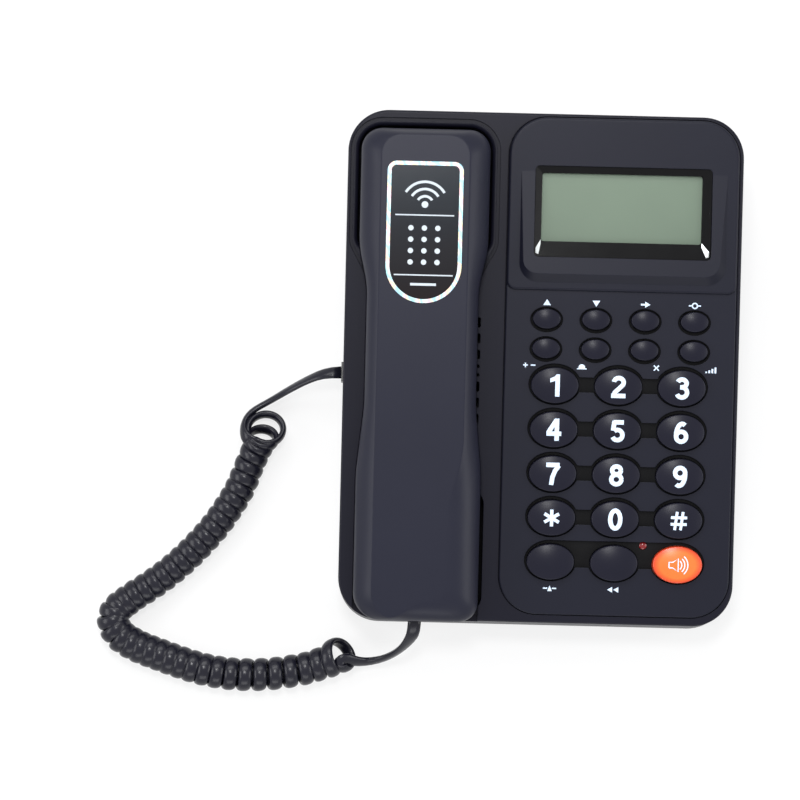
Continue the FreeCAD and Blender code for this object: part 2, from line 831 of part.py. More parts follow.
def keypad_panel():
    plate = prism(panel_corners(0), -panel_sink, panel_proud)
    plate = plate.makeFillet(panel_round, level_edges(plate, panel_proud))
    half_u = panel_width / 2 - block_inset
    top_v = panel_v + panel_length / 2 - block_inset
    outline = [(panel_u - half_u, block_low_v, block_corner), (panel_u + half_u, block_low_v, block_corner),
               (panel_u + half_u, top_v, panel_corner - block_inset),
               (panel_u - half_u, top_v, panel_corner - block_inset)]
    raised = prism(outline, 0, panel_proud + block_rise)
    raised = raised.makeFillet(block_rise * 0.8, level_edges(raised, panel_proud + block_rise))
    panel = fuse(plate, raised, hood_form())
    panel = fuse(panel, *[rod(u, v, -mat_top - mat_thickness, -panel_sink + 0.5, pillar_diameter)
                          for u, v in keypad_screw_places()])
    tools = [prism(window_rectangle(window_gap), window_top() - window_thickness, far),
             prism(view_rectangle(0), -far, far)]
    for row in range(5):
        v = big_first_v - row * big_pitch_v + (talk_channel_shift if row == 4 else channel_shift)
        tall = talk_channel_height if row == 4 else channel_height
        tools.append(block(big_first_u, v - tall / 2, panel_proud - channel_depth,
                           big_first_u + 2 * big_pitch_u, v + tall / 2, panel_proud + 1))
    floor = panel_proud - channel_depth
    for _, u, v, width, height in big_key_places():
        tools.append(oval_prism(u, v, width + 2 * key_gap, height + 2 * key_gap, -far / 10, panel_proud + 1))
        tools.append(oval_prism(u, v + big_ring_shift, width + 2 * (key_gap + big_ring_side),
                                height + 2 * (key_gap + big_ring_end), floor, panel_proud + 1))
    for _, u, v in small_key_places():
        tools.append(oval_prism(u, v, small_width + 2 * key_gap, small_height + 2 * key_gap,
                                -far / 10, panel_proud + 1))
        tools.append(oval_prism(u, v + small_ring_shift, small_ring_width, small_ring_height, floor,
                                panel_proud + 1))
    for u, v in keypad_screw_places():
        tools.append(rod(u, v, -mat_top - mat_thickness - 1, -panel_sink - 1, small_screw_diameter))
    tools.append(rod(lamp_u, lamp_v, -far / 10, panel_proud + 1, lamp_diameter + 2 * lamp_gap))
    return on_deck(cut(panel, *tools))


def display_window():
    lens = prism(window_rectangle(0), window_top() - window_thickness, window_top())
    return on_deck(lens.makeFillet(0.3, level_edges(lens, window_top())))


def display_glass():
    return on_deck(prism(view_rectangle(glass_margin), -panel_sink - glass_thickness, -panel_sink))


def display_holder():
    """Tray behind the display glass, with a rim that meets the panel."""
    tray = prism(view_rectangle(glass_margin + holder_gap + holder_wall),
                 -panel_sink - glass_thickness - holder_back, -panel_sink)
    return on_deck(tray.cut(prism(view_rectangle(glass_margin + holder_gap),
                                  -panel_sink - glass_thickness, 0)))


def keypad_screw_places():
    left = panel_u - panel_width / 2 + panel_ledge + pillar_inset + 0.3
    right = panel_u + panel_width / 2 - panel_ledge - pillar_inset - 0.3
    high = small_first_v + small_height / 2
    low = big_first_v - 4.34 * big_pitch_v
    return [(u, v) for u in (left, right) for v in (high, (high + low) / 2, low)]


def keypad_extent():
    """Low and high corner of the area that holds all the keys."""
    low_u = big_first_u - big_width / 2
    high_u = small_first_u + 3 * small_pitch_u + small_width / 2
    low_v = big_first_v - 4 * big_pitch_v - big_height / 2
    high_v = small_first_v + small_height / 2
    return low_u, low_v, high_u, high_v


def keypad_mat():
    low_u, low_v, high_u, high_v = keypad_extent()
    sheet = prism(rectangle(low_u - mat_margin, low_v - mat_margin, high_u + mat_margin, high_v + mat_margin, 2.0),
                  -mat_top - mat_thickness, -mat_top)
    places = [(u, v) for _, u, v, _, _ in big_key_places()] + [(u, v) for _, u, v in small_key_places()]
    domes = [Part.makeCone(dome_diameter / 2 + dome_foot, dome_diameter / 2, mat_top - stem_foot - dome_gap,
                           Vec(u, v, -mat_top)) for u, v in places]
    mat = fuse(sheet, *domes)
    openings = [rod(u, v, -far / 10, far / 10, pillar_diameter + 1) for u, v in keypad_screw_places()]
    openings.append(rod(lamp_u, lamp_v, -far / 10, far / 10, lamp_diameter + 1))
    return on_deck(cut(mat, *openings))


def keypad_board():
    low_u, low_v, high_u, high_v = keypad_extent()
    left = min(u for u, _ in keypad_screw_places()) - pillar_inset + 0.2
    right = max(u for u, _ in keypad_screw_places()) + pillar_inset - 0.2
    low = -mat_top - mat_thickness - board_thickness
    board = prism(rectangle(left, low_v - keypad_board_reach / 2, right, high_v + keypad_board_reach / 2, 1.5),
                  low, low + board_thickness)
    return on_deck(cut(board, *[rod(u, v, low - 1, low + board_thickness + 1, small_screw_diameter + 0.4)
                                for u, v in keypad_screw_places()]))


def call_lamp():
    """Small red lamp on the keypad board that shows through the panel."""
    top = panel_proud - channel_depth + lamp_stand
    radius = ((lamp_diameter / 2) ** 2 + lamp_dome ** 2) / (2 * lamp_dome)
    body = rod(lamp_u, lamp_v, -mat_top - mat_thickness, top + 1, lamp_diameter)
    return on_deck(body.common(Part.makeSphere(radius, Vec(lamp_u, lamp_v, top - radius))
                               .fuse(block(-far, -far, -far, far, far, top - lamp_dome))))


# Boards and their screws

def main_screw_places():
    half_x, half_y = main_board_width / 2 - 4, main_board_length / 2 - 4
    return [(main_board_x + sx * half_x, main_board_y + sy * half_y) for sx in (-1, 1) for sy in (-1, 1)]


def main_board():
    """Main circuit board with its larger parts standing on it."""
    x0, y0 = main_board_x - main_board_width / 2, main_board_y - main_board_length / 2
    top = main_board_base + board_thickness
    board = prism(rectangle(x0, y0, x0 + main_board_width, y0 + main_board_length, 2.0), main_board_base, top)
    board = cut(board, *[rod(x, y, main_board_base - 1, top + 1, small_screw_diameter + 0.4)
                         for x, y in main_screw_places()])
    chip_x, chip_y = main_board_x - chip_width / 2, main_board_y - 0.214 * main_board_length
    chip = block(chip_x, chip_y, top, chip_x + chip_width, chip_y + chip_length, top + chip_height)
    bell = rod(main_board_x + 0.278 * main_board_width, main_board_y + 0.3 * main_board_length, top,
               top + bell_height, bell_diameter)
    core_x, core_y = main_board_x - 0.361 * main_board_width, main_board_y + 0.214 * main_board_length
    coil_core = block(core_x, core_y, top, core_x + core_size, core_y + core_size, top + core_height)
    cans = [rod(main_board_x + (0.125 * i - 0.278) * main_board_width, main_board_y + 0.129 * main_board_length,
                top, top + can_height, can_diameter) for i in range(can_count)]
    return Part.makeCompound([board, chip, bell, coil_core] + cans)


def board_screws():
    """Small screws of the keypad board, the hook carrier and the main board."""
    screws = []
    seat = -mat_top - mat_thickness - board_thickness
    for u, v in keypad_screw_places():
        screws.append(on_deck(screw(u, v, seat + 6, seat, small_head_height, small_screw_diameter - 0.1,
                                    small_head_diameter)))
    seat = -carrier_depth - carrier_thickness
    for u, v in hook_post_places():
        screws.append(on_deck(screw(u, v, seat + 6, seat, small_head_height, small_screw_diameter - 0.1,
                                    small_head_diameter)))
    seat = main_board_base + board_thickness
    for x, y in main_screw_places():
        upright = screw(x, y, -seat + 5, -seat, small_head_height, small_screw_diameter - 0.1,
                        small_head_diameter)
        screws.append(upright.rotated(Vec(x, y, 0), Vec(1, 0, 0), 180))
    return Part.makeCompound(screws)


# Hook switch

def plunger_hole():
    half_u, half_v = plunger_width / 2 + plunger_gap, plunger_length / 2 + plunger_gap
    return prism(rectangle(handset_u - half_u, hook_v - half_v, handset_u + half_u, hook_v + half_v, 1.2),
                 -cradle_depth - 2 * wall, 0)


def plunger_levels():
    """Top, flange top and stem end of the pressed plunger."""
    top = grip_under - plunger_gap
    flange_top = -cradle_depth - wall - plunger_gap - hook_travel
    return top, flange_top, flange_top - plunger_flange_thickness


def hook_plunger():
    top, flange_top, flange_low = plunger_levels()
    half_u, half_v = plunger_width / 2, plunger_length / 2
    post = prism(rectangle(handset_u - half_u, hook_v - half_v, handset_u + half_u, hook_v + half_v, 1.2),
                 flange_low, top)
    post = post.makeFillet(0.5, level_edges(post, top))
    grown = plunger_flange
    flange = prism(rectangle(handset_u - half_u - grown, hook_v - half_v - grown,
                             handset_u + half_u + grown, hook_v + half_v + grown, 1.5), flange_low, flange_top)
    stem = rod(handset_u, hook_v, flange_low - 3.0, flange_low + 0.5, plunger_stem)
    return on_deck(fuse(post, flange, stem))


def hook_switch():
    """Carrier board under the plunger with a small switch beside the spring."""
    low = -carrier_depth - carrier_thickness
    half_u, half_v = carrier_width / 2, carrier_length / 2
    board = prism(rectangle(handset_u - half_u, hook_v - half_v, handset_u + half_u, hook_v + half_v, 1.5),
                  low, -carrier_depth)
    board = cut(board, *[rod(u, v, low - 1, 0, small_screw_diameter + 0.4) for u, v in hook_post_places()])
    side = handset_u + spring_diameter / 2 + 1.0
    body = block(side, hook_v - switch_width / 2, -carrier_depth, side + switch_width,
                 hook_v + switch_width / 2, -carrier_depth + switch_height)
    return Part.makeCompound([on_deck(board), on_deck(body)])


def biarc(start, start_way, end, end_way):
    """Two tangent arcs from one point and direction to another."""
    chord = end - start
    spread = 2 * (1 - start_way.dot(end_way))
    along = chord.dot(start_way + end_way)
    if spread < 1e-9:
        reach = chord.dot(chord) / (2 * along)
    else:
        reach = (-along + sqrt(along ** 2 + spread * chord.dot(chord))) / spread
    first = start + start_way * reach
    second = end - end_way * reach
    joint = (first + second) * 0.5
    return [arc_by_corner(start, first, joint), arc_by_corner(joint, second, end)]


def arc_by_corner(start, corner, end):
    """Arc that leaves its start towards a corner and reaches its end from that corner."""
    weight = (end - start).Length / 2 / (corner - start).Length
    if weight > 1 - 1e-9:
        return Part.LineSegment(start, end).toShape()
    middle = (start + corner * (2 * weight) + end) * (1 / (2 + 2 * weight))
    return Part.Arc(start, middle, end).toShape()


def swept_tube(edges, start, way, diameter):
    """Round tube along tangent edges."""
    ring = Part.Wire([Part.Circle(start, way, diameter / 2).toShape()])
    tube = Part.Wire(edges).makePipeShell([ring], True, False)
    return tube if tube.Volume > 0 else tube.reversed()


def hook_spring():
    """Helical spring between the plunger's flange and the carrier."""
    low = -carrier_depth + spring_wire / 2 + 0.05
    high = plunger_levels()[2] - spring_wire / 2 - 0.05
    radius = (spring_diameter - spring_wire) / 2
    pitch = (high - low) / spring_turns
    steps = 4 * spring_turns

    def point(i):
        angle = i * pi / 2
        return Vec(handset_u + radius * cos(angle), hook_v + radius * sin(angle), low + pitch * i / 4)

    def way(i):
        angle = i * pi / 2
        return Vec(-radius * sin(angle), radius * cos(angle), pitch / (2 * pi)).normalize()

    edges = []
    for i in range(steps):
        edges += biarc(point(i), way(i), point(i + 1), way(i + 1))
    return on_deck(swept_tube(edges, point(0), way(0), spring_wire))


# Loudspeaker and hands-free microphone

def loudspeaker():
    """Frame, cone basket and magnet as one turned solid against the cradle's underside."""
    seat = -cradle_depth - wall
    rim, magnet = speaker_diameter / 2, speaker_magnet / 2
    back = seat - speaker_depth
    profile = [(0, back), (magnet, back), (magnet, back + 4), (magnet + 1, back + 4), (rim - 3, seat - 1.6),
               (rim, seat - 1.6), (rim, seat), (rim - 3.5, seat), (rim - 5, seat - 0.9), (6, seat - 4),
               (0, seat - 2.2)]
    points = [Vec(r, 0, z) for r, z in profile]
    face = Part.Face(Part.makePolygon(points + [points[0]]))
    turned = face.revolve(Vec(0, 0, 0), Vec(0, 0, 1), 360)
    turned.Placement = FreeCAD.Placement(Vec(handset_u, speaker_v, 0), FreeCAD.Rotation())
    return on_deck(turned)


def handsfree_hole():
    return Part.makeCylinder(0.9, 2 * wall, Vec(handsfree_x, -base_length / 2 - 1, handsfree_z), Vec(0, 1, 0))


def handsfree_microphone():
    inner = -base_length / 2 + wall
    return Part.makeCylinder(handsfree_diameter / 2, handsfree_length, Vec(handsfree_x, inner, handsfree_z),
                             Vec(0, 1, 0))


# Sockets and plugs

def socket_body(width, height, depth, margin):
    """Socket with its mouth at the origin facing -Y."""
    body = block(-width / 2 - margin, 0, -height / 2 - margin, width / 2 + margin, depth + margin, height / 2 + margin)
    return body.cut(block(-width / 2, -1, -height / 2, width / 2, depth, height / 2))


def plug_body():
    """Cord plug with its rear face at the origin facing -Y."""
    body = block(-plug_width / 2, 0, -plug_height / 2, plug_width / 2, plug_length, plug_height / 2)
    return body.cut(block(-plug_width / 2 + 1, plug_length - 4, plug_height / 2 - 1,
                          plug_width / 2 - 1, plug_length + 1, plug_height / 2 + 1))


def at_base_socket(shape, inset):
    """Place a -Y facing shape in the left wall of the base."""
    placed = shape.copy()
    place = Vec(-base_width / 2 + inset, base_socket_y, base_socket_z)
    placed.Placement = FreeCAD.Placement(place, FreeCAD.Rotation(Vec(0, 0, 1), -90))
    return placed


def base_socket_hole():
    grow = plug_gap + socket_wall
    hole = block(-plug_width / 2 - grow, -1, -plug_height / 2 - grow, plug_width / 2 + grow, 2 * wall,
                 plug_height / 2 + grow)
    return at_base_socket(hole, 0)


def cord_jack():
    body = socket_body(plug_width + 2 * plug_gap, plug_height + 2 * plug_gap, socket_depth, socket_wall - 0.1)
    flange = block(-plug_width / 2 - 4, wall, -plug_height / 2 - 3.0, plug_width / 2 + 4, wall + 1.5,
                   plug_height / 2 + 3.0)
    flange = flange.cut(block(-plug_width / 2, 0, -plug_height / 2, plug_width / 2, far, plug_height / 2))
    inner = block(-plug_width / 2 - plug_gap, -1, -plug_height / 2 - plug_gap, plug_width / 2 + plug_gap,
                  socket_depth, plug_height / 2 + plug_gap)
    return at_base_socket(fuse(body, flange).cut(inner), 0)


def base_plug():
    return at_base_socket(plug_body(), -plug_stand)


def line_socket_hole():
    half = line_socket_width / 2 + line_body_margin
    tall = line_socket_height / 2 + line_body_margin
    return block(line_socket_x - half, base_length / 2 - 2 * wall, line_socket_z - tall, line_socket_x + half,
                 base_length / 2 + 1, line_socket_z + tall)


def line_jack():
    """Line socket in the rear wall, its mouth facing the back."""
    body = socket_body(line_socket_width, line_socket_height, line_socket_depth, line_body_margin - 0.1)
    notch = block(-2.0, -1, -line_socket_height / 2 - 1.4, 2.0, line_socket_depth, 0)
    flange = block(-line_socket_width / 2 - 5, wall, -line_socket_height / 2 - 4.5, line_socket_width / 2 + 5,
                   wall + 1.5, line_socket_height / 2 + 4.5)
    flange = flange.cut(block(-line_socket_width / 2, 0, -line_socket_height / 2, line_socket_width / 2, far,
                              line_socket_height / 2))
    jack = fuse(body, flange).cut(notch)
    jack.Placement = FreeCAD.Placement(Vec(line_socket_x, base_length / 2, line_socket_z),
                                       FreeCAD.Rotation(Vec(0, 0, 1), 180))
    return jack


# Handset

def roof(lift, low):
    """Arched top of the handset: flat crown with sloping shoulders, swung about a far axis across it."""
    half_length = (handset_top_v - handset_low_v) / 2
    radius = half_length ** 2 / (2 * plateau_sag)
    top = plateau_height + lift
    reach = shoulder_run * (top - low) / shoulder_drop
    crown = plateau_half + lift * shoulder_slope_share()
    profile = [Vec(handset_u - crown, 0, top), Vec(handset_u + crown, 0, top),
               Vec(handset_u + crown + reach, 0, low), Vec(handset_u - crown - reach, 0, low)]
    face = Part.Face(Part.makePolygon(profile + [profile[0]]))
    middle = (handset_top_v + handset_low_v) / 2
    swing = degrees((half_length + 15) / radius)
    axis = Vec(handset_u, 0, plateau_height - radius)
    turned = face.rotated(axis, Vec(1, 0, 0), -swing).revolve(axis, Vec(1, 0, 0), 2 * swing)
    turned.translate(Vec(0, middle, 0))
    return turned


def shoulder_slope_share():
    """Growth of the flat crown's half width for each millimetre that the roof is offset outwards."""
    slope = hypot(shoulder_run, shoulder_drop)
    return (slope - shoulder_run) / shoulder_drop


def end_profile(inset):
    """Side view of the handset's outer shell, with sloping ends, as a solid across its whole width."""
    top = plateau_height + 1.0
    steep = end_slope_run / end_slope_drop
    low_steep = low_end_run / end_slope_drop
    base = plateau_height - plateau_sag - end_slope_drop
    points = [(handset_low_v + inset, -far / 10), (handset_low_v + inset, base),
              (handset_low_v + inset + low_steep * (top - base), top),
              (handset_top_v - inset - steep * (top - base), top), (handset_top_v - inset, base),
              (handset_top_v - inset, -far / 10)]
    corners = [Vec(-far / 2, v, w) for v, w in points]
    return Part.Face(Part.makePolygon(corners + [corners[0]])).extrude(Vec(far, 0, 0))


def handset_upper_form(inset, low):
    """Outer half of the handset, drawn in by a wall."""
    form = prism(handset_corners(-inset), low, plateau_height + 5)
    return form.common(roof(-inset, low - 10)).common(end_profile(inset))


def handset_outer_shell():
    outer = handset_upper_form(0, handset_split)
    crown = [e for e in outer.Edges if plateau_edge(e)]
    outer = outer.makeFillet(1.2, crown)
    shell = outer.cut(handset_upper_form(shell_wall, handset_split - 1))
    posts = [rod(u, v, handset_split, plateau_height, handset_post) for u, v in handset_screw_places()]
    shell = fuse(shell, *[post.common(outer) for post in posts])
    tools = [handset_socket_hole()]
    tools += [rod(u, v, handset_split - 1, grip_under + handset_screw_length + 3.2, handset_screw_diameter)
              for u, v in handset_screw_places()]
    return on_deck(cut(shell, *tools))


def plateau_edge(edge):
    """True for the edges around the flat crown of the handset."""
    box = edge.BoundBox
    return box.ZMin > plateau_height - plateau_sag - 1.2


def cup_corners(v_low, inset, half):
    """Outline of an ear or mouth cup under the handset."""
    edge = half - cup_inset - inset
    return rectangle(handset_u - edge, v_low + inset, handset_u + edge, v_low + cup_length - inset,
                     cup_corner - inset)


def cup_places():
    """Low end and half width of the mouth cup and the ear cup."""
    return [(handset_low_v + cup_inset + 1.0, mouth_half), (handset_top_v - cup_inset - cup_length, ear_half)]


def handset_lower_form(inset, top):
    """Inner half of the handset with its two cups, drawn in by a wall."""
    body = prism(handset_corners(-inset), grip_under + inset, top)
    if inset == 0:
        body = body.makeFillet(grip_round, level_edges(body, grip_under))
    cups = []
    for v_low, half in cup_places():
        cup = prism(cup_corners(v_low, inset, half), cup_bottom + inset, top)
        if inset == 0:
            cup = cup.makeFillet(cup_round, level_edges(cup, cup_bottom))
        cups.append(cup)
    return fuse(body, *cups)


def handset_inner_shell():
    shell = handset_lower_form(0, handset_split).cut(handset_lower_form(shell_wall, handset_split + 1))
    bosses = [rod(u, v, grip_under + 0.5, handset_split, handset_post) for u, v in handset_screw_places()]
    shell = fuse(shell, *bosses)
    tools = [handset_socket_hole()]
    for u, v in handset_screw_places():
        tools.append(rod(u, v, grip_under - 1, handset_split + 1, handset_screw_diameter + 0.6))
        tools.append(rod(u, v, grip_under - 1, grip_under + handset_screw_head_height + 0.4,
                         handset_screw_head + 0.6))
    (mouth_low, _), (ear_low, _) = cup_places()
    ear_v = ear_low + cup_length / 2
    tools.append(rod(handset_u, ear_v, cup_bottom - 1, cup_bottom + shell_wall + 1, 2.2))
    for i in range(6):
        angle = i * pi / 3
        tools.append(rod(handset_u + 6 * cos(angle), ear_v + 6 * sin(angle), cup_bottom - 1,
                         cup_bottom + shell_wall + 1, 2.2))
    mouth_v = mouth_low + cup_length / 2
    for i in range(3):
        tools.append(rod(handset_u + 3.2 * (i - 1), mouth_v, cup_bottom - 1, cup_bottom + shell_wall + 1, 1.8))
    return on_deck(cut(shell, *tools))


def handset_screw_places():
    return [(handset_u, grip_high_v - 14.0), (handset_u, grip_low_v - 12.0)]


def handset_screws():
    seat = grip_under + handset_screw_head_height + 0.4
    return Part.makeCompound([
        on_deck(screw(u, v, seat + handset_screw_length, seat, handset_screw_head_height,
                      handset_screw_diameter, handset_screw_head)) for u, v in handset_screw_places()])


def handset_receiver():
    """Round receiver seated in the ear cup."""
    _, (ear_low, _) = cup_places()
    seat = cup_bottom + shell_wall
    v = ear_low + cup_length / 2
    back = seat + receiver_depth
    return on_deck(fuse(rod(handset_u, v, seat, back, receiver_diameter),
                        rod(handset_u, v, back - 0.5, back + receiver_back_depth, receiver_back_diameter)))


def handset_microphone():
    """Small microphone capsule in its rubber cup, seated in the mouth cup."""
    (mouth_low, _), _ = cup_places()
    seat = cup_bottom + shell_wall
    return on_deck(rod(handset_u, mouth_low + cup_length / 2, seat, seat + microphone_depth, microphone_diameter))


def handset_weight():
    """Steel bar that gives the handset enough weight to press the hook switch."""
    low = grip_under + shell_wall
    middle_v = (grip_low_v + grip_high_v) / 2 - 12.0
    return on_deck(block(handset_u - weight_width / 2, middle_v - weight_length / 2, low,
                         handset_u + weight_width / 2, middle_v + weight_length / 2, low + weight_thickness))


def at_handset_socket(shape, inset):
    """Place a -Y facing shape in the lower end of the handset, in deck coordinates."""
    placed = shape.copy()
    place = Vec(handset_u, handset_low_v + inset, handset_socket_w)
    placed.Placement = FreeCAD.Placement(place, FreeCAD.Rotation())
    return placed


def handset_socket_hole():
    grow = plug_gap + socket_wall
    hole = block(-plug_width / 2 - grow, -1, -plug_height / 2 - grow, plug_width / 2 + grow, 3 * shell_wall,
                 plug_height / 2 + grow)
    return at_handset_socket(hole, 0)


def handset_socket():
    body = socket_body(plug_width + 2 * plug_gap, plug_height + 2 * plug_gap, socket_depth, socket_wall - 0.1)
    return on_deck(at_handset_socket(body, 0))


def handset_plug():
    return on_deck(at_handset_socket(plug_body(), plug_inset))


def handset_label():
    """Thin label on the crown: round corners at the top, a half circle at the bottom."""
    half = label_width / 2
    low = label_top_v - label_length
    top = label_top_v
    arc = Part.Arc(Vec(handset_u - half, low + half, 0), Vec(handset_u, low, 0), Vec(handset_u + half, low + half, 0))
    r = label_corner
    lean = r * (1 - 1 / sqrt(2))
    right = Part.Arc(Vec(handset_u + half, top - r, 0), Vec(handset_u + half - lean, top - lean, 0),
                     Vec(handset_u + half - r, top, 0))
    left = Part.Arc(Vec(handset_u - half + r, top, 0), Vec(handset_u - half + lean, top - lean, 0),
                    Vec(handset_u - half, top - r, 0))
    edges = [arc.toShape(), Part.LineSegment(Vec(handset_u + half, low + half, 0), Vec(handset_u + half, top - r, 0)).toShape(),
             right.toShape(), Part.LineSegment(Vec(handset_u + half - r, top, 0), Vec(handset_u - half + r, top, 0)).toShape(),
             left.toShape(), Part.LineSegment(Vec(handset_u - half, top - r, 0), Vec(handset_u - half, low + half, 0)).toShape()]
    column = Part.Face(Part.Wire(edges)).extrude(Vec(0, 0, plateau_height + 5))
    skin = roof(label_thickness, 0).cut(roof(0, -5))
    return on_deck(column.common(skin))


# Handset cord

def axis_curve():
    """Smooth middle line of the coil: a quadratic spline with the listed control points."""
    points = [Vec(*p) for p in coil_axis]
    spans = len(points) - 2
    curve = Part.BSplineCurve()
    curve.buildFromPolesMultsKnots(points, [3] + [1] * (spans - 1) + [3],
                                   [float(k) for k in range(spans + 1)], False, 2)
    return curve


def bump(offset, spread):
    """Bell curve of height 1."""
    return exp(-(offset / spread) ** 2)


class Coil:
    """Curls about a smooth middle line: turns stand wider at the bend and lean open at both ends."""

    def __init__(self):
        self.curve = axis_curve()
        self.length = self.curve.length()
        steps = 2000
        self.progress = [0.0]
        for i in range(steps):
            share = (i + 0.5) / steps
            spacing = (1 + bend_spacing * bump(share - bend_share, bend_spread)
                       + end_spacing * (bump(share, end_spread) + bump(1 - share, end_spread)))
            self.progress.append(self.progress[-1] + 1 / spacing)

    def share(self, turn):
        """Share of the middle line's length that is reached after a number of turns."""
        wanted = turn / coil_turns * self.progress[-1]
        low, high = 0, len(self.progress) - 1
        while high - low > 1:
            middle = (low + high) // 2
            if self.progress[middle] <= wanted:
                low = middle
            else:
                high = middle
        within = (wanted - self.progress[low]) / (self.progress[high] - self.progress[low])
        return min(1.0, max(0.0, (low + within) / (len(self.progress) - 1)))

    def point(self, turn):
        """Point on the cord after a number of turns."""
        share = self.share(turn)
        at = self.curve.parameterAtDistance(share * self.length, self.curve.FirstParameter)
        way = self.curve.tangent(at)[0]
        side = way.cross(Vec(0, 0, 1)).normalize()
        up = side.cross(way)
        first, last = bump(share, end_spread), bump(1 - share, end_spread)
        radius = coil_radius + end_growth * (first + last)
        lean = end_lean * (first - last)
        angle = radians(start_angle) + 2 * pi * turn
        return (self.curve.value(at) + side * (radius * cos(angle)) + up * (radius * sin(angle))
                + way * (lean * (sin(angle) - 1)))

    def way(self, turn):
        """Direction of the cord after a number of turns."""
        before, after = max(0.0, turn - 0.01), min(coil_turns, turn + 0.01)
        return (self.point(after) - self.point(before)).normalize()

    def least_gap(self):
        """Smallest clear distance between turns, measured on points along the cord."""
        per_turn = 24
        points = [self.point(i / per_turn) for i in range(int(coil_turns * per_turn) + 1)]
        least = far
        for i, here in enumerate(points):
            for there in points[i + per_turn // 2:i + 2 * per_turn]:
                least = min(least, here.distanceToPoint(there))
        return least - cord_tube


def cord_coil():
    """The curly stretch: one unbroken tube of many turns with straight ends."""
    coil = Coil()
    steps = int(round(4 * coil_turns))
    turns = [i * coil_turns / steps for i in range(steps + 1)]
    points = [coil.point(t) for t in turns]
    ways = [coil.way(t) for t in turns]
    start = points[0] - ways[0] * cord_tube
    end = points[-1] + ways[-1] * cord_tube
    edges = [Part.LineSegment(start, points[0]).toShape()]
    for i in range(steps):
        edges += biarc(points[i], ways[i], points[i + 1], ways[i + 1])
    edges.append(Part.LineSegment(points[-1], end).toShape())
    tube = swept_tube(edges, start, ways[0], cord_tube)
    length = sum(e.Length for e in edges)
    print("coil: length", round(length, 1), "volume share",
          round(tube.Volume / (pi * cord_tube ** 2 / 4 * length), 4),
          "least gap to itself", round(coil.least_gap(), 2))
    return tube


def tube_along(route, diameter, name):
    """Tube of straight runs joined by tangent arcs; prints its radii and checks its volume."""
    points = [Vec(*p) for p in route]
    edges, radii = [], []
    at = points[0]
    for before, here, after in zip(points, points[1:], points[2:]):
        a, b = (here - before), (after - here)
        turn = a.getAngle(b)
        reach = 0.45 * min(a.Length, b.Length)
        radii.append(reach / tan(turn / 2))
        start = here - a.normalize() * reach
        end = here + b.normalize() * reach
        edges.append(Part.LineSegment(at, start).toShape())
        edges.append(arc_by_corner(start, here, end))
        at = end
    edges.append(Part.LineSegment(at, points[-1]).toShape())
    tube = swept_tube(edges, points[0], points[1] - points[0], diameter)
    length = sum(e.Length for e in edges)
    share = tube.Volume / (pi * diameter ** 2 / 4 * length)
    print(name + ": length", round(length, 1), "radii", [round(r, 1) for r in radii],
          "volume share", round(share, 4))
    return tube


def cord_base_lead():
    """Straight stretch from the plug in the base to the coil."""
    coil = Coil()
    start, way = coil.point(0.0), coil.way(0.0)
    exits = [(-base_width / 2 - plug_stand - run, base_socket_y, base_socket_z) for run in (0.0, lead_run + 1.0)]
    route = exits + base_lead_route + [start - way * (cord_tube + lead_run), start - way * cord_tube]
    return tube_along(route, cord_tube, "base lead")


def cord_handset_lead():
    """Straight stretch from the coil to the plug in the handset."""
    coil = Coil()
    end, way = coil.point(coil_turns), coil.way(coil_turns)
    exits = [deck_point(handset_u, handset_low_v + plug_inset - run, handset_socket_w)
             for run in (lead_run + 1.0, 0.0)]
    route = [end + way * cord_tube, end + way * (cord_tube + lead_run + 1.5)] + handset_lead_route + exits
    return tube_along(route, cord_tube, "handset lead")


NODES = {
    "base_lower_shell": base_lower_shell, "base_upper_shell": base_upper_shell, "base_feet": base_feet,
    "case_screws": case_screws, "battery_door": battery_door, "battery_cells": battery_cells,
    "battery_contacts": battery_contacts, "keypad_panel": keypad_panel, "display_window": display_window,
    "display_glass": display_glass, "display_holder": display_holder, "keypad_mat": keypad_mat,
    "keypad_board": keypad_board, "call_lamp": call_lamp, "main_board": main_board,
    "board_screws": board_screws, "hook_plunger": hook_plunger, "hook_switch": hook_switch,
    "hook_spring": hook_spring, "loudspeaker": loudspeaker, "handsfree_microphone": handsfree_microphone,
    "cord_jack": cord_jack, "base_plug": base_plug, "line_jack": line_jack,
    "handset_outer_shell": handset_outer_shell, "handset_inner_shell": handset_inner_shell,
    "handset_screws": handset_screws, "handset_receiver": handset_receiver,
    "handset_microphone": handset_microphone, "handset_weight": handset_weight,
    "handset_socket": handset_socket, "handset_plug": handset_plug, "handset_label": handset_label,
    "cord_base_lead": cord_base_lead, "cord_coil": cord_coil, "cord_handset_lead": cord_handset_lead,
}


def all_parts():
    """Every named piece of the telephone."""
    parts = {name: make() for name, make in NODES.items()}
    for name, u, v, width, height in big_key_places():
        parts[name] = key_solid(u, v, width, height, big_rise, dome_drop)
    for name, u, v in small_key_places():
        parts[name] = key_solid(u, v, small_width, small_height, small_rise, small_dome_drop)
    return parts


os.makedirs("parts", exist_ok=True)
for part_name, part_shape in all_parts().items():
    print(part_name, "solids", len(part_shape.Solids), "valid", part_shape.isValid(),
          "volume", round(part_shape.Volume, 1))
    part_shape.exportStep("parts/" + part_name + ".step")
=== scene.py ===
"""Looks of the corded desk telephone: finishes, printed marks, handset, curly cord and stage.

Metres, +Z up, the telephone faces -Y. The sloping top of the base is the deck: u to the right,
v up the slope and w out of it, in millimetres. Shapes are worked out on grids with numpy.
"""
from math import cos, pi, radians, sin, tan
import bmesh
import bpy
import numpy as np
from mathutils import Matrix, Vector


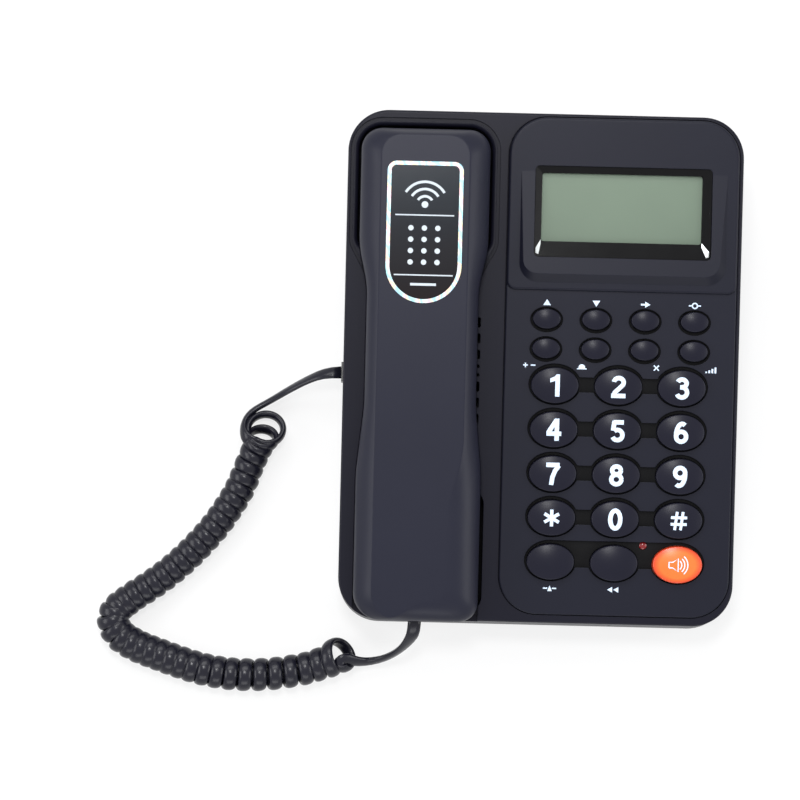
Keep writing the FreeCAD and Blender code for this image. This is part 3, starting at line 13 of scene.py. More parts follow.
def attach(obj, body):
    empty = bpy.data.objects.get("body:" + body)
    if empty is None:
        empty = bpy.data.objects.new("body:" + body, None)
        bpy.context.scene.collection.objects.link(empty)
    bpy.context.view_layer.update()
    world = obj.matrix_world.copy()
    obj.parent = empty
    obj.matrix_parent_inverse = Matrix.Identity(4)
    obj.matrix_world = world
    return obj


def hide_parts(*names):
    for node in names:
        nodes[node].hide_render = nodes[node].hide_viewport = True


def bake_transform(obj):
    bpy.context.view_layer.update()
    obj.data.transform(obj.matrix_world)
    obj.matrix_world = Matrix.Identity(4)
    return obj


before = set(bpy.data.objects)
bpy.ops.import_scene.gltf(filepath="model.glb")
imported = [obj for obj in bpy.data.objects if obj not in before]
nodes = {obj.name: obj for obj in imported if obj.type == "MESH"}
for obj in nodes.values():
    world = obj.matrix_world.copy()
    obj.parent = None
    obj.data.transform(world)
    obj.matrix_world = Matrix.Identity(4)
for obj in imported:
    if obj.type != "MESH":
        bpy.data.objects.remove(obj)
bpy.context.view_layer.update()

MM = 0.001
BASE_WIDTH, BASE_LENGTH, BASE_CORNER, FRONT_HEIGHT = 155.0, 198.0, 16.0, 26.0
TILT = radians(7.5)
DECK_MID = FRONT_HEIGHT + BASE_LENGTH / 2 * tan(TILT)
PANEL_TOP = 0.8

# Number helpers

def deck(u, v, w):
    """Deck coordinates in millimetres as table coordinates in metres: turned by the tilt, then lifted."""
    u, v, w = np.broadcast_arrays(np.asarray(u, float), v, w)
    return np.stack([u, v * cos(TILT) - w * sin(TILT), DECK_MID + v * sin(TILT) + w * cos(TILT)], -1) * MM


def unit(vectors):
    return vectors / np.linalg.norm(vectors, axis=-1, keepdims=True)


def step(x, low, high):
    """Smooth step from 0 to 1."""
    t = np.clip((x - low) / (high - low), 0, 1)
    return t * t * (3 - 2 * t)


def bell(offset, spread):
    """Smooth bump of height 1 about an offset of 0."""
    return np.exp(-(offset / spread) ** 2)


def key_place(row, column):
    """Middle of a large key on the deck."""
    return 5.55 + 24.9 * column, -6.5 - 17.3 * row


# Shader helpers

class Value:
    """A socket's value that Python's operators turn into Math nodes."""

    def __init__(self, finish, socket):
        self.finish, self.socket = finish, socket

    def math(self, operation, *others):
        return self.finish.node("Math", {"operation": operation}, [self, *others])

    def __add__(self, other):
        return self.math("ADD", other)

    def __sub__(self, other):
        return self.math("SUBTRACT", other)

    def __mul__(self, other):
        return self.math("MULTIPLY", other)

    def __truediv__(self, other):
        return self.math("DIVIDE", other)

    def __rsub__(self, other):
        return self.finish.node("Math", {"operation": "SUBTRACT"}, [other, self])

    def __gt__(self, other):
        return self.math("GREATER_THAN", other)

    def __lt__(self, other):
        return self.math("LESS_THAN", other)

    __radd__ = __add__

    def clamped(self):
        """The value held between 0 and 1."""
        return self.math("MAXIMUM", 0.0).math("MINIMUM", 1.0)


class Finish:
    """A material under construction."""

    def __init__(self, name):
        self.material = bpy.data.materials.new(name)
        self.material.use_nodes = True
        self.tree = self.material.node_tree
        self.tree.nodes.clear()

    def node(self, kind, settings=None, sockets=(), out=0):
        """Adds a node with settings, and with values or links for its sockets, by name or in order."""
        made = self.tree.nodes.new("ShaderNode" + kind)
        for key, value in (settings or {}).items():
            if key == "stops":
                while len(made.color_ramp.elements) < len(value):
                    made.color_ramp.elements.new(0.5)
                for element, (place, colour) in zip(made.color_ramp.elements, value):
                    element.position, element.color = place, (*colour, 1.0)
            else:
                setattr(made, key, value)
        pairs = sockets.items() if isinstance(sockets, dict) else enumerate(sockets)
        for key, value in pairs:
            if isinstance(value, Value):
                self.tree.links.new(value.socket, made.inputs[key])
            else:
                made.inputs[key].default_value = value
        return Value(self, made.outputs[out]) if made.outputs else None

    def place(self):
        """Place in the object, in metres."""
        return self.node("TexCoord", out="Object")

    def deck_place(self):
        """Place in deck coordinates, in metres: the deck's lift and tilt taken back."""
        sockets = {"Vector": self.place(), "Location": (0, 0, DECK_MID * MM), "Rotation": (TILT, 0, 0)}
        return self.node("Mapping", {"vector_type": "TEXTURE"}, sockets)

    def axes(self, place):
        """The three coordinates of a place as numbers."""
        split = self.node("SeparateXYZ", None, [place])
        return [Value(self, split.socket.node.outputs[i]) for i in range(3)]

    def noise(self, size, detail=2.0, rough=0.5):
        """Soft noise from 0 to 1 whose lumps are about one size across, in metres."""
        sockets = {"Vector": self.place(), "Scale": 1 / size, "Detail": detail, "Roughness": rough}
        return self.node("TexNoise", None, sockets, out="Fac")

    def edge_distance(self):
        """Distance in from the rounded outline of the base, in metres."""
        x, y, _ = self.axes(self.place())
        return rounded_depth(x.math("ABSOLUTE"), y.math("ABSOLUTE"), BASE_WIDTH / 2 * MM,
                             BASE_LENGTH / 2 * MM, BASE_CORNER * MM)

    def mix(self, factor, first, second):
        """Colour between two others."""
        return self.node("Mix", {"data_type": "RGBA"}, {0: factor, 6: first, 7: second}, out=2)

    def bump(self, height, distance, normal=None):
        """Normal bent by a height of 0 to 1 that stands for a distance in metres."""
        sockets = {"Height": height, "Strength": 1.0, "Distance": distance}
        if normal:
            sockets["Normal"] = normal
        return self.node("Bump", None, sockets)

    def finish(self, shader):
        self.node("OutputMaterial", None, {"Surface": shader})
        return self.material

    def principled(self, **sockets):
        named = {key.replace("_", " "): value for key, value in sockets.items()}
        return self.node("BsdfPrincipled", None, named)


def rounded_depth(x, y, half_x, half_y, corner):
    """Distance in from the outline of a rounded rectangle, for distances x and y from its middle.

    With q the place less the middle of the nearest corner's arc, the depth is the corner's radius less
    the length of q where it is positive, and less the larger part of q where both parts are negative.
    """
    qx, qy = x - (half_x - corner), y - (half_y - corner)
    px, py = qx.math("MAXIMUM", 0.0), qy.math("MAXIMUM", 0.0)
    return corner - ((px * px + py * py).math("SQRT") + qx.math("MAXIMUM", qy).math("MINIMUM", 0.0))


def rgb(*levels):
    """Linear colour from levels of 0 to 255 as they are seen on a screen."""
    share = np.array(levels) / 255
    linear = np.where(share <= 0.04045, share / 12.92, ((share + 0.055) / 1.055) ** 2.4)
    return (*[float(x) for x in linear], 1.0)


def shade(colour, factor):
    """Colour made lighter or darker by a factor."""
    return tuple(c * factor for c in colour[:3]) + (1.0,)


# Bounds of the painted shade in the hollows, and the dark colour that it is painted with.
RIM, CRADLE_FLOOR, PAINTED_SHADE_TONE = 0.0016, -0.023, rgb(6, 6, 8)


def plastic(name, colour, roughness, grain=0.00025, depth=0.000012, edge=0.0003, uneven=0.08,
            hollow=None, fade=0.00025, gloss=0.5):
    """Moulded plastic: faint blotches of tone, fine spark-erosion grain and slightly rounded edges.

    Below the height named hollow, inside the base's rim and above the cradle's floor, where little
    light gets, painted shade darkens it over a depth of fade.
    """
    made = Finish(name)
    wide = made.noise(0.035, detail=3.0)
    fine = made.noise(grain, detail=3.0, rough=0.65)
    tone = made.mix(wide, shade(colour, 1 - uneven), shade(colour, 1 + uneven))
    rough = roughness - 0.04 + wide * 0.05 + fine * 0.04
    if hollow is not None:
        height = made.axes(made.deck_place())[2]
        # Painted shade: the share of the dark tone grows below the height named hollow.
        below = ((hollow - height) / fade).clamped()
        below = below * (made.edge_distance() > RIM) * (height > CRADLE_FLOOR)
        tone = made.mix(below, tone, PAINTED_SHADE_TONE)
        rough = rough + below * 0.35
    edges = made.node("Bevel", {"samples": 4}, {"Radius": edge})
    return made.finish(made.principled(Base_Color=tone, Roughness=rough, Specular_IOR_Level=gloss,
                                       Normal=made.bump(fine, depth, edges)))


def orange_key():
    """Translucent orange cap: its rim is deeper and redder than its crown."""
    made = Finish("orange_key_plastic")
    u, v, _ = made.axes(made.deck_place())
    middle_u, middle_v = key_place(4, 2)
    x, y = (u - middle_u * MM) / 0.0097, (v - middle_v * MM) / 0.0072
    rim = (((x * x + y * y).math("SQRT") - 0.72) * 4).clamped()
    crown_tone = made.mix(made.noise(0.01), rgb(244, 108, 40), rgb(250, 120, 52))
    tone = made.mix(rim, crown_tone, rgb(206, 62, 26))
    fine = made.noise(0.0004, detail=3.0)
    return made.finish(made.principled(Base_Color=tone, Roughness=0.28 + fine * 0.05,
                                       Normal=made.bump(fine, 0.000005)))


# Mesh helpers

def solid_mesh(name, points, faces, finish, smooth=True):
    """Object from points in metres and faces as lists of their numbers."""
    mesh = bpy.data.meshes.new(name)
    mesh.from_pydata(np.asarray(points).reshape(-1, 3).tolist(), [], [list(map(int, f)) for f in faces])
    mesh.validate()
    mesh.polygons.foreach_set("use_smooth", np.full(len(mesh.polygons), smooth))
    mesh.materials.append(finish)
    thing = bpy.data.objects.new(name, mesh)
    bpy.context.scene.collection.objects.link(thing)
    return thing


def grid_faces(rows, columns, wrap_rows=False, wrap_columns=False):
    """Four-cornered faces of a grid of points; a wrapped direction joins its last line to its first."""
    index = np.arange(rows * columns).reshape(rows, columns)
    if wrap_rows:
        index = np.vstack([index, index[:1]])
    if wrap_columns:
        index = np.hstack([index, index[:, :1]])
    return np.stack([index[:-1, :-1], index[:-1, 1:], index[1:, 1:], index[1:, :-1]], -1).reshape(-1, 4)


def turn_outward(mesh):
    """Joins points that coincide and turns the faces outward."""
    form = bmesh.new()
    form.from_mesh(mesh)
    bmesh.ops.remove_doubles(form, verts=form.verts, dist=1e-6)
    bmesh.ops.recalc_face_normals(form, faces=form.faces)
    form.to_mesh(mesh)
    form.free()


def dress(finish, *names):
    """Gives CAD nodes a finish."""
    for name in names:
        slots = nodes[name].material_slots
        if not slots:
            nodes[name].data.materials.append(finish)
        for slot in slots:
            slot.link = "OBJECT"
            slot.material = finish


# Finishes

HANDSET_U, HANDSET_TOP, HANDSET_LOW = -47.1, 92.2, -98.5

# The housing and the keypad panel get painted shade in their hollows.
housing = plastic("housing_plastic", rgb(18, 18, 29), 0.38, hollow=-0.0022, gloss=0.14, fade=0.004)
panel = plastic("panel_plastic", rgb(22, 23, 34), 0.38, hollow=0.0004, gloss=0.15)
handset_plastic = plastic("handset_plastic", rgb(31, 32, 44), 0.38, edge=0.0004, gloss=0.16)
key_plastic = plastic("key_plastic", rgb(23, 23, 35), 0.30, grain=0.0004, depth=0.000006, gloss=0.15)
black_plastic = plastic("black_plastic", rgb(16, 16, 20), 0.45, gloss=0.16)
rubber = plastic("rubber", rgb(30, 30, 32), 0.7, grain=0.0006, depth=0.00003)
plug_plastic = plastic("plug_plastic", rgb(16, 16, 18), 0.28, depth=0.000002, gloss=0.2)
steel = plastic("steel", rgb(190, 190, 195), 0.3)
board = plastic("board", rgb(30, 92, 52), 0.5)
cell = plastic("cell", rgb(40, 60, 130), 0.35)
white_print = plastic("white_print", rgb(213, 231, 252), 0.45, depth=0.000003, edge=0.00005)
cord_finish = plastic("cord_vinyl", rgb(22, 22, 32), 0.25, grain=0.0008, depth=0.000003, gloss=0.26)


def red_lamp():
    made = Finish("lamp_red")
    tone = made.mix(made.noise(0.001), rgb(96, 10, 14), rgb(132, 18, 22))
    return made.finish(made.principled(Base_Color=tone, Roughness=0.2))


def liquid_crystal():
    """Blank grey-green display: faint cloudiness and the fine grid of its glass."""
    made = Finish("display_liquid_crystal")
    u, v, _ = made.axes(made.deck_place())
    cloud = made.noise(0.02, detail=2.0)
    grid = ((u * 1400).math("FRACT") < 0.12).math("MAXIMUM", (v * 1400).math("FRACT") < 0.12)
    tone = made.mix(cloud * 0.6 + (v - 0.05) * 12, rgb(103, 117, 103), rgb(116, 131, 115))
    tone = made.mix(grid * 0.06, tone, rgb(90, 110, 95))
    return made.finish(made.principled(Base_Color=tone, Roughness=0.35 + cloud * 0.1))


def clear_plastic():
    """Clear pane: nothing but its gloss, stronger at a glancing look."""
    made = Finish("clear_pane")
    gloss = made.principled(Base_Color=rgb(12, 12, 13), Roughness=0.04 + made.noise(0.01) * 0.04)
    bare = made.node("BsdfTransparent", None, {"Color": (0.97, 0.98, 0.97, 1)})
    outside = 1 - made.node("NewGeometry", out="Backfacing")
    fresnel = made.node("Fresnel", None, {"IOR": 1.49}) * outside
    return made.finish(made.node("MixShader", None, [fresnel, bare, gloss]))


LABEL_HALF, LABEL_TOP, LABEL_LOW, LABEL_CORNER = 14.7, 79.2, 24.4, 3.6
RING_MIDDLE, SPOT_PITCH_X, SPOT_PITCH_Y, SPOT_ROW = 62.5, 5.2, 4.4, 40.2


def label_finish():
    """Black foil label with a bright shimmering border and a plain pattern of arcs, dots and bars."""
    made = Finish("label_foil")
    u, v, _ = made.axes(made.deck_place())
    x, y = (u - HANDSET_U * MM) * 1000, v * 1000
    across = x.math("ABSOLUTE")
    below = (y - (LABEL_LOW + LABEL_HALF)).math("MINIMUM", 0.0)
    round_end = LABEL_HALF - (x * x + below * below).math("SQRT")
    square_end = rounded_depth(across, y, LABEL_HALF, LABEL_TOP, LABEL_CORNER)
    border = round_end.math("MINIMUM", square_end) < 1.5

    def band(value, middle, width):
        return (value - middle).math("ABSOLUTE") < width / 2

    def either(*parts):
        whole = parts[0]
        for part in parts[1:]:
            whole = whole.math("MAXIMUM", part)
        return whole

    upper = y - RING_MIDDLE
    ring = (x * x + upper * upper).math("SQRT")
    arcs = either(*[band(ring, radius, 1.0) for radius in (3.2, 6.0, 8.8)])
    arcs = arcs * (upper > 0.8) * (upper - across * 0.62 > 0)
    dot = ring < 1.3
    column = ((x / SPOT_PITCH_X + 0.5).math("FRACT") - 0.5) * SPOT_PITCH_X
    row = (((y - SPOT_ROW) / SPOT_PITCH_Y + 0.5).math("FRACT") - 0.5) * SPOT_PITCH_Y
    spots = (column * column + row * row < 1.1) * (across < 7.6) * band(y, 46.8, 17.0)
    lines = either(band(y, 58.4, 0.5), band(y, 35.2, 0.5)) * (across < 11.4)
    foot = band(y, 31.6, 1.0) * (across < 5.0)
    marks = either(arcs, dot, spots, lines, foot)
    shimmer = (x * 0.23 + y * 0.11 + made.noise(0.006) * 2.2).math("FRACT")
    stops = [(0.0, (0.30, 0.62, 0.66)), (0.3, (0.68, 0.74, 0.78)), (0.5, (0.74, 0.44, 0.54)),
             (0.7, (0.76, 0.70, 0.40)), (0.86, (0.42, 0.58, 0.78)), (1.0, (0.30, 0.62, 0.66))]
    foil = made.node("ValToRGB", {"stops": stops}, [shimmer])
    sheen = ((y - 30) / 45 + made.noise(0.02) * 0.3).clamped()
    field = made.mix(sheen, rgb(22, 15, 16), rgb(10, 20, 30))
    tone = made.mix(border, made.mix(marks, field, rgb(196, 204, 212)), foil)
    bright = either(border, marks)
    return made.finish(made.principled(Base_Color=tone, Metallic=border * 0.25,
                                       Roughness=0.22 + bright * 0.2, Specular_IOR_Level=0.15,
                                       Normal=made.bump(bright, 0.00003)))


def glossy_black():
    made = Finish("window_black")
    tone = made.mix(made.noise(0.01), rgb(8, 8, 9), rgb(13, 13, 15))
    return made.finish(made.principled(Base_Color=tone, Roughness=0.12 + made.noise(0.004) * 0.05,
                                       Specular_IOR_Level=0.14))


orange_plastic = orange_key()
lamp = red_lamp()
lcd = liquid_crystal()
clear_pane = clear_plastic()
window_black = glossy_black()
# Nearly white finish of the painted highlights in the window's lower corners.
painted_highlight = plastic("pale_clear_plastic", rgb(225, 230, 230), 0.15, depth=0.000002)
label = label_finish()

dress(housing, "base_upper_shell", "base_lower_shell", "battery_door")
dress(panel, "keypad_panel")
dress(handset_plastic, "handset_outer_shell", "handset_inner_shell")
dress(key_plastic, *[n for n in nodes if n.startswith("key_")])
dress(orange_plastic, "key_talk")
dress(black_plastic, "display_holder", "hook_plunger", "cord_jack", "line_jack", "handset_socket",
      "handset_receiver", "handset_microphone", "handsfree_microphone", "loudspeaker", "hook_switch")
dress(label, "handset_label")
dress(rubber, "base_feet", "keypad_mat")
dress(plug_plastic, "base_plug", "handset_plug")
dress(steel, "case_screws", "board_screws", "handset_screws", "hook_spring", "handset_weight",
      "battery_contacts")
dress(board, "keypad_board", "main_board")
dress(cell, "battery_cells")
dress(lamp, "call_lamp")
dress(lcd, "display_glass")

# Handset cover

CROWN_HEIGHT, CROWN_HALF, SHELL_SPLIT, WALL_TOP = 18.0, 17.25, 6.0, 7.5
COVER_LOW = HANDSET_LOW - 1.2
ARCH_SAG = 2.0
ARCH = ((HANDSET_TOP - HANDSET_LOW) / 2) ** 2 / (2 * ARCH_SAG)
ARCH_MID = (HANDSET_TOP + HANDSET_LOW) / 2


def crown(v):
    """Height of the handset's crown above the deck: a long shallow arc."""
    return CROWN_HEIGHT - (ARCH - np.sqrt(ARCH ** 2 - (v - ARCH_MID) ** 2))


def rounded_run(corners, count):
    """Evenly spaced points on an open line of straight runs with a tangent arc at each inner corner."""
    spots = np.array([c[:2] for c in corners], float)
    points = [spots[:1]]
    for before, here, after, radius in zip(spots, spots[1:], spots[2:], [c[2] for c in corners[1:-1]]):
        a, b = unit(before - here), unit(after - here)
        opening = np.arccos(a @ b)
        centre = here + unit(a + b) * radius / np.sin(opening / 2)
        start, end = (here + way * radius / np.tan(opening / 2) - centre for way in (a, b))
        first, last = (np.arctan2(arm[1], arm[0]) for arm in (start, end))
        sweep = (last - first + pi) % (2 * pi) - pi
        angle = first + sweep * np.linspace(0, 1, 24)
        points.append(centre + radius * np.stack([np.cos(angle), np.sin(angle)], -1))
    points = np.vstack(points + [spots[-1:]])
    along = np.r_[0, np.cumsum(np.linalg.norm(np.diff(points, axis=0), axis=1))]
    even = np.linspace(0, along[-1], count)
    return np.stack([np.interp(even, along, points[:, i]) for i in range(2)], -1)


def crown_reach(spots, spine_v, arm):
    """Distance along each arm from an end of the spine to the crown's edge, a line of points."""
    way = spots - (0, spine_v)
    angle = np.arctan2(np.abs(way[:, 1]), way[:, 0])
    arm_angle = np.arctan2(np.abs(arm[:, 1]), np.abs(arm[:, 0]))
    return np.interp(arm_angle, angle, np.linalg.norm(way, axis=1))


def handset_cover():
    """Outer half of the handset, as loops drawn in from its outline towards a middle line.

    Inside the crown's edge a loop lies on the shallow arch. Between that edge and the outline the
    shoulder falls by a straight share, which makes the edge crisp, and a quarter round for the rest.
    On the keypad's side the edge melts away towards the mouth end, into a wide soft shoulder.
    """
    def side(low_corner):
        return rounded_run([(0, COVER_LOW, 0), (24.4, COVER_LOW, low_corner), (24.4, -42.0, 80.0),
                            (21.7, -16.0, 80.0), (21.7, 31.0, 40.0), (25.1, 46.0, 40.0),
                            (25.1, HANDSET_TOP, 8.3), (0, HANDSET_TOP, 0)], 260)

    rim = np.vstack([side(7.5), side(11.0)[-2:0:-1] * (-1, 1)])
    ear_spine, mouth_spine = HANDSET_TOP - 21, COVER_LOW + 22
    middle = np.clip(rim[:, 1], mouth_spine, ear_spine)
    spine = np.stack([np.zeros(len(rim)), middle], -1)
    arm = rim - spine
    reach = np.linalg.norm(arm, axis=1)
    endward = step(np.abs(arm[:, 1]) / reach, 0.25, 0.98)
    top = rim[:, 1] > 0
    ear_edge = rounded_run([(CROWN_HALF, ear_spine, 0), (CROWN_HALF, 89.6, 8.0), (0, 89.6, 0)], 80)
    mouth_edge = rounded_run([(CROWN_HALF, mouth_spine, 0), (CROWN_HALF, -98.9, 10.5), (0, -98.9, 0)], 80)
    edge = np.where(top, crown_reach(ear_edge, ear_spine, arm),
                    crown_reach(mouth_edge, mouth_spine, arm)) / reach
    soft = step(-rim[:, 1], 28, 62) * step(rim[:, 0], -13, 5)
    edge = edge * (1 - 0.36 * soft)
    drop = (1 - endward) * (2.0 + 1.05 * (reach - CROWN_HALF)) + endward * np.where(top, 8.5, 6.5)
    drop = np.minimum(drop, crown(rim[:, 1]) - WALL_TOP - 0.2)
    crisp = ((1 - endward) * 0.42 + endward * np.where(top, 0.35, 0.3)) * (1 - soft)
    inner = np.array([0, 0.3, 0.6, 0.85, 0.97, 1.0])
    fall = np.r_[0.03, 0.08, np.sin(np.linspace(0.15, 1, 18) * pi / 2)]
    share = np.vstack([inner[:, None] * edge, edge + fall[:, None] * (1 - edge)])
    fallen = np.r_[np.zeros(len(inner)), fall][:, None]
    place = spine + share[:, :, None] * arm
    lower = drop * (crisp * fallen + (1 - crisp) * (1 - np.sqrt(1 - np.minimum(fallen, 1) ** 2)))
    height = crown(place[:, :, 1]) - lower
    foot = np.array([WALL_TOP, 6.5, 6.15, SHELL_SPLIT])[:, None] + np.zeros(len(rim))
    inset = np.array([0, 0, 0.1, 0.5])[:, None, None]
    wall = rim - inset * unit(arm)
    place = np.concatenate([place, wall])
    height = np.vstack([height, foot])
    points = deck(HANDSET_U + place[..., 0], place[..., 1], height)
    rows, columns = height.shape
    faces = grid_faces(rows, columns, wrap_columns=True)[:, ::-1]
    cover = solid_mesh("handset_cover", points, faces, handset_plastic)
    turn_outward(cover.data)
    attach(cover, "handset")
    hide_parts("handset_outer_shell")


handset_cover()

# Printed marks

PRINT_LIFT, PRINT_THICKNESS, LAYER_LIFT = 0.02, 0.05, 0.004
DOME_CUTS, STROKE = 1.2, 1.75


def dome(width, rise, drop):
    """Height of a key's crown over its place: the cap of a ball."""
    radius = ((width / 2) ** 2 + drop ** 2) / (2 * drop)
    return lambda x, y: PANEL_TOP + rise - radius + np.sqrt(radius ** 2 - x ** 2 - y ** 2)


def lay_print(name, points, faces, place, body, height, cuts=0.0):
    """Thin print on a surface: a flat pattern in millimetres, cut by a grid and laid on the height."""
    mesh = bpy.data.meshes.new(name)
    mesh.from_pydata([(*p, 0)[:3] for p in points], [], faces)
    form = bmesh.new()
    form.from_mesh(mesh)
    if cuts:
        reach = max(max(abs(p[0]), abs(p[1])) for p in points)
        for at in np.arange(-reach, reach, cuts):
            for side in ((1, 0, 0), (0, 1, 0)):
                bmesh.ops.bisect_plane(form, geom=form.verts[:] + form.edges[:] + form.faces[:],
                                       plane_co=tuple(at * c for c in side), plane_no=side)
    bmesh.ops.recalc_face_normals(form, faces=form.faces)
    form.to_mesh(mesh)
    form.free()
    flat = np.empty(len(mesh.vertices) * 3)
    mesh.vertices.foreach_get("co", flat)
    x, y, layer = flat.reshape(-1, 3).T
    laid = deck(place[0] + x, place[1] + y, height(x, y) + PRINT_LIFT + layer)
    mesh.vertices.foreach_set("co", laid.ravel())
    if len(mesh.polygons) and mesh.polygons[0].normal.z < 0:
        mesh.flip_normals()
    mesh.update()
    mesh.materials.append(white_print)
    thing = bpy.data.objects.new(name, mesh)
    bpy.context.scene.collection.objects.link(thing)
    thick = thing.modifiers.new("thickness", "SOLIDIFY")
    thick.thickness, thick.offset = PRINT_THICKNESS * MM, 1.0
    "keys" if body != "base" else "panel"
    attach(thing, body)


def strip(points, width):
    """Ribbon of even width along a line of points, as points and faces."""
    line = np.array(points, float)
    way = unit(np.gradient(line, axis=0))
    across = np.stack([-way[:, 1], way[:, 0]], -1) * width / 2
    sides = np.vstack([line + across, line - across])
    n = len(line)
    return sides.tolist(), [(i, i + 1, n + i + 1, n + i) for i in range(n - 1)]


def gathered(*patterns):
    """Several patterns as one, each laid a little over the one before."""
    points, faces = [], []
    for layer, (some, their) in enumerate(patterns):
        faces += [tuple(i + len(points) for i in f) for f in their]
        points += [(x, y, LAYER_LIFT * layer) for x, y in some]
    return points, faces


def polygon(*points):
    return [list(p) for p in points], [tuple(range(len(points)))]


def bar(x0, y0, x1, y1):
    return polygon((x0, y0), (x1, y0), (x1, y1), (x0, y1))


def oval(centre, half_wide, half_tall, first, last, count=32):
    """Points along part of an oval, between two angles in degrees."""
    angle = np.radians(np.linspace(first, last, count))
    around = np.stack([half_wide * np.cos(angle), half_tall * np.sin(angle)], -1)
    return (np.array(centre) + around).tolist()


def arc(centre, radius, first, last, count=16):
    return oval(centre, radius, radius, first, last, count)


def stroke(*lines):
    """Character of broad strokes of even width, in millimetres about its middle."""
    return gathered(*[strip(line, STROKE) for line in lines])


six_curve = oval((0.35, -0.9), 2.3, 4.35, 62, 180) + oval((0, -1.55), 1.95, 1.95, 180, 200, 4)
characters = {
    "key_1": polygon((0.1, -4.35), (1.85, -4.35), (1.85, 4.35), (0.5, 4.35), (-0.2, 3.45), (-1.9, 2.75),
                     (-1.9, 1.15), (0.1, 1.85)),
    "key_2": stroke(oval((0, 1.75), 1.9, 1.75, 172, -30) + [(0.9, 0.1), (-1.5, -2.2), (-1.95, -3.3)],
                    [(-2.85, -3.48), (2.75, -3.48)]),
    "key_3": stroke(oval((-0.15, 2.0), 1.75, 1.5, 158, -90), oval((-0.15, -1.55), 2.0, 1.95, 90, -158),
                    [(-0.9, 0.45), (0, 0.45)]),
    "key_4": stroke([(1.0, 3.9), (-2.2, -1.2)], [(-2.9, -1.55), (2.9, -1.55)],
                    [(1.15, 4.35), (1.15, -4.35)]),
    "key_5": stroke([(-1.6, 3.48), (2.4, 3.48)], [(-1.25, 4.0), (-1.75, 0.2)],
                    oval((-0.05, -1.5), 2.0, 2.0, 128, -155)),
    "key_6": stroke(six_curve, oval((0, -1.55), 1.95, 1.95, 0, 360, 40)),
    "key_7": stroke([(-2.6, 3.48), (2.6, 3.48)],
                    [(2.35, 3.3), (0.9, 1.3), (-0.1, -1.2), (-0.55, -4.35)]),
    "key_8": stroke(oval((0, 1.95), 1.7, 1.53, 0, 360, 40), oval((0, -1.6), 1.95, 1.88, 0, 360, 40)),
    "key_9": stroke([(-x, -y) for x, y in six_curve], oval((0, 1.55), 1.95, 1.95, 0, 360, 40)),
    "key_star": gathered(*[strip([(-3.3 * cos(a), -3.3 * sin(a)), (3.3 * cos(a), 3.3 * sin(a))], 1.3)
                           for a in (pi / 2, pi / 6, -pi / 6)]),
    "key_0": stroke(oval((0, 0), 1.95, 3.48, 0, 360, 48)),
    "key_hash": gathered(*[strip(line, 1.1) for line in (
        [(-1.6, -3.6), (-0.7, 3.6)], [(0.7, -3.6), (1.6, 3.6)],
        [(-3.1, 1.3), (3.2, 1.3)], [(-3.2, -1.3), (3.1, -1.3)])]),
}
big_dome = dome(18.6, 3.3, 1.5)
for i, (key, pattern) in enumerate(characters.items()):
    lay_print(key + "_digit", *pattern, key_place(i // 3, i % 3), key, big_dome, DOME_CUTS)

horn = strip([(-3.4, -1.1), (-1.9, -1.1), (0.2, -2.6), (0.2, 2.6), (-1.9, 1.1), (-3.4, 1.1),
              (-3.4, -1.1)], 0.45)
waves = [strip(arc((-0.6, 0), r, -48, 48), 0.45) for r in (2.2, 3.4, 4.6)]
talk_dome = dome(19.4, 3.3, 1.5)
lay_print("key_talk_sign", *gathered(horn, *waves), key_place(4, 2), "key_talk", talk_dome, DOME_CUTS)


def flat(x, y):
    return PANEL_TOP + 0 * x


signs = {
    "sign_up": ((1.75, 25.9), polygon((-1.5, -1.1), (1.5, -1.1), (0, 1.3))),
    "sign_down": ((21.05, 25.9), polygon((-1.5, 1.1), (0, -1.3), (1.5, 1.1))),
    "sign_out": ((40.35, 25.9), gathered(polygon((-0.2, -1.2), (1.9, 0), (-0.2, 1.2)),
                                         bar(-1.9, -0.35, -0.1, 0.35))),
    "sign_set": ((59.65, 25.9), gathered(strip(arc((0, 0), 1.0, 0, 360, 25), 0.5),
                                         bar(-2.4, -0.25, -1.2, 0.25), bar(1.2, -0.25, 2.4, 0.25))),
    "sign_calculator": ((-4.6, 1.2), gathered(bar(-2.4, -0.25, -0.6, 0.25), bar(-1.75, -0.9, -1.25, -0.25),
                                              bar(-1.75, 0.25, -1.25, 0.9), bar(0.6, -0.25, 2.4, 0.25))),
    "sign_ring": ((16.0, 1.2), gathered(polygon(*arc((0, -0.5), 1.3, 0, 180), (-1.3, -0.9), (1.3, -0.9)),
                                        bar(-1.9, -1.2, 1.9, -0.8))),
    "sign_delete": ((45.2, 1.2), gathered(strip([(-1.0, -1.0), (1.0, 1.0)], 0.5),
                                          strip([(-1.0, 1.0), (1.0, -1.0)], 0.5))),
    "sign_volume": ((66.4, 0.8), gathered(bar(-2.0, -1.1, -1.3, -0.5), bar(-0.8, -1.1, -0.1, 0.0),
                                          bar(0.4, -1.1, 1.1, 0.6), bar(1.6, -1.1, 2.3, 1.2))),
    "sign_flash": ((5.55, -86.2), gathered(bar(-2.6, -0.25, -0.9, 0.25), bar(0.9, -0.25, 2.6, 0.25),
                                           polygon((-0.9, -1.1), (0.9, -1.1), (0, 1.1)))),
    "sign_redial": ((30.45, -86.2), gathered(polygon((-2.3, 0), (-0.3, -1.1), (-0.3, 1.1)),
                                             polygon((0.1, 0), (2.1, -1.1), (2.1, 1.1)))),
}
for sign, (spot, pattern) in signs.items():
    lay_print(sign, *pattern, spot, "base", flat)

# Display window: a sunk clear pane with sloping black borders. Both openings give the middle's u and v
# and half the width and height.

WINDOW = (30.6, 61.5, 34.5, 17.7)
VIEW = (30.1, 63.2, 31.4, 13.35)
RIM_LEVEL, BORDER_FOOT, PANE_LEVEL, WINDOW_BACK = 1.35, 0.25, 0.2, -0.05


def box_corners(middle_u, middle_v, half_u, half_v):
    return [(middle_u - half_u, middle_v - half_v), (middle_u + half_u, middle_v - half_v),
            (middle_u + half_u, middle_v + half_v), (middle_u - half_u, middle_v + half_v)]


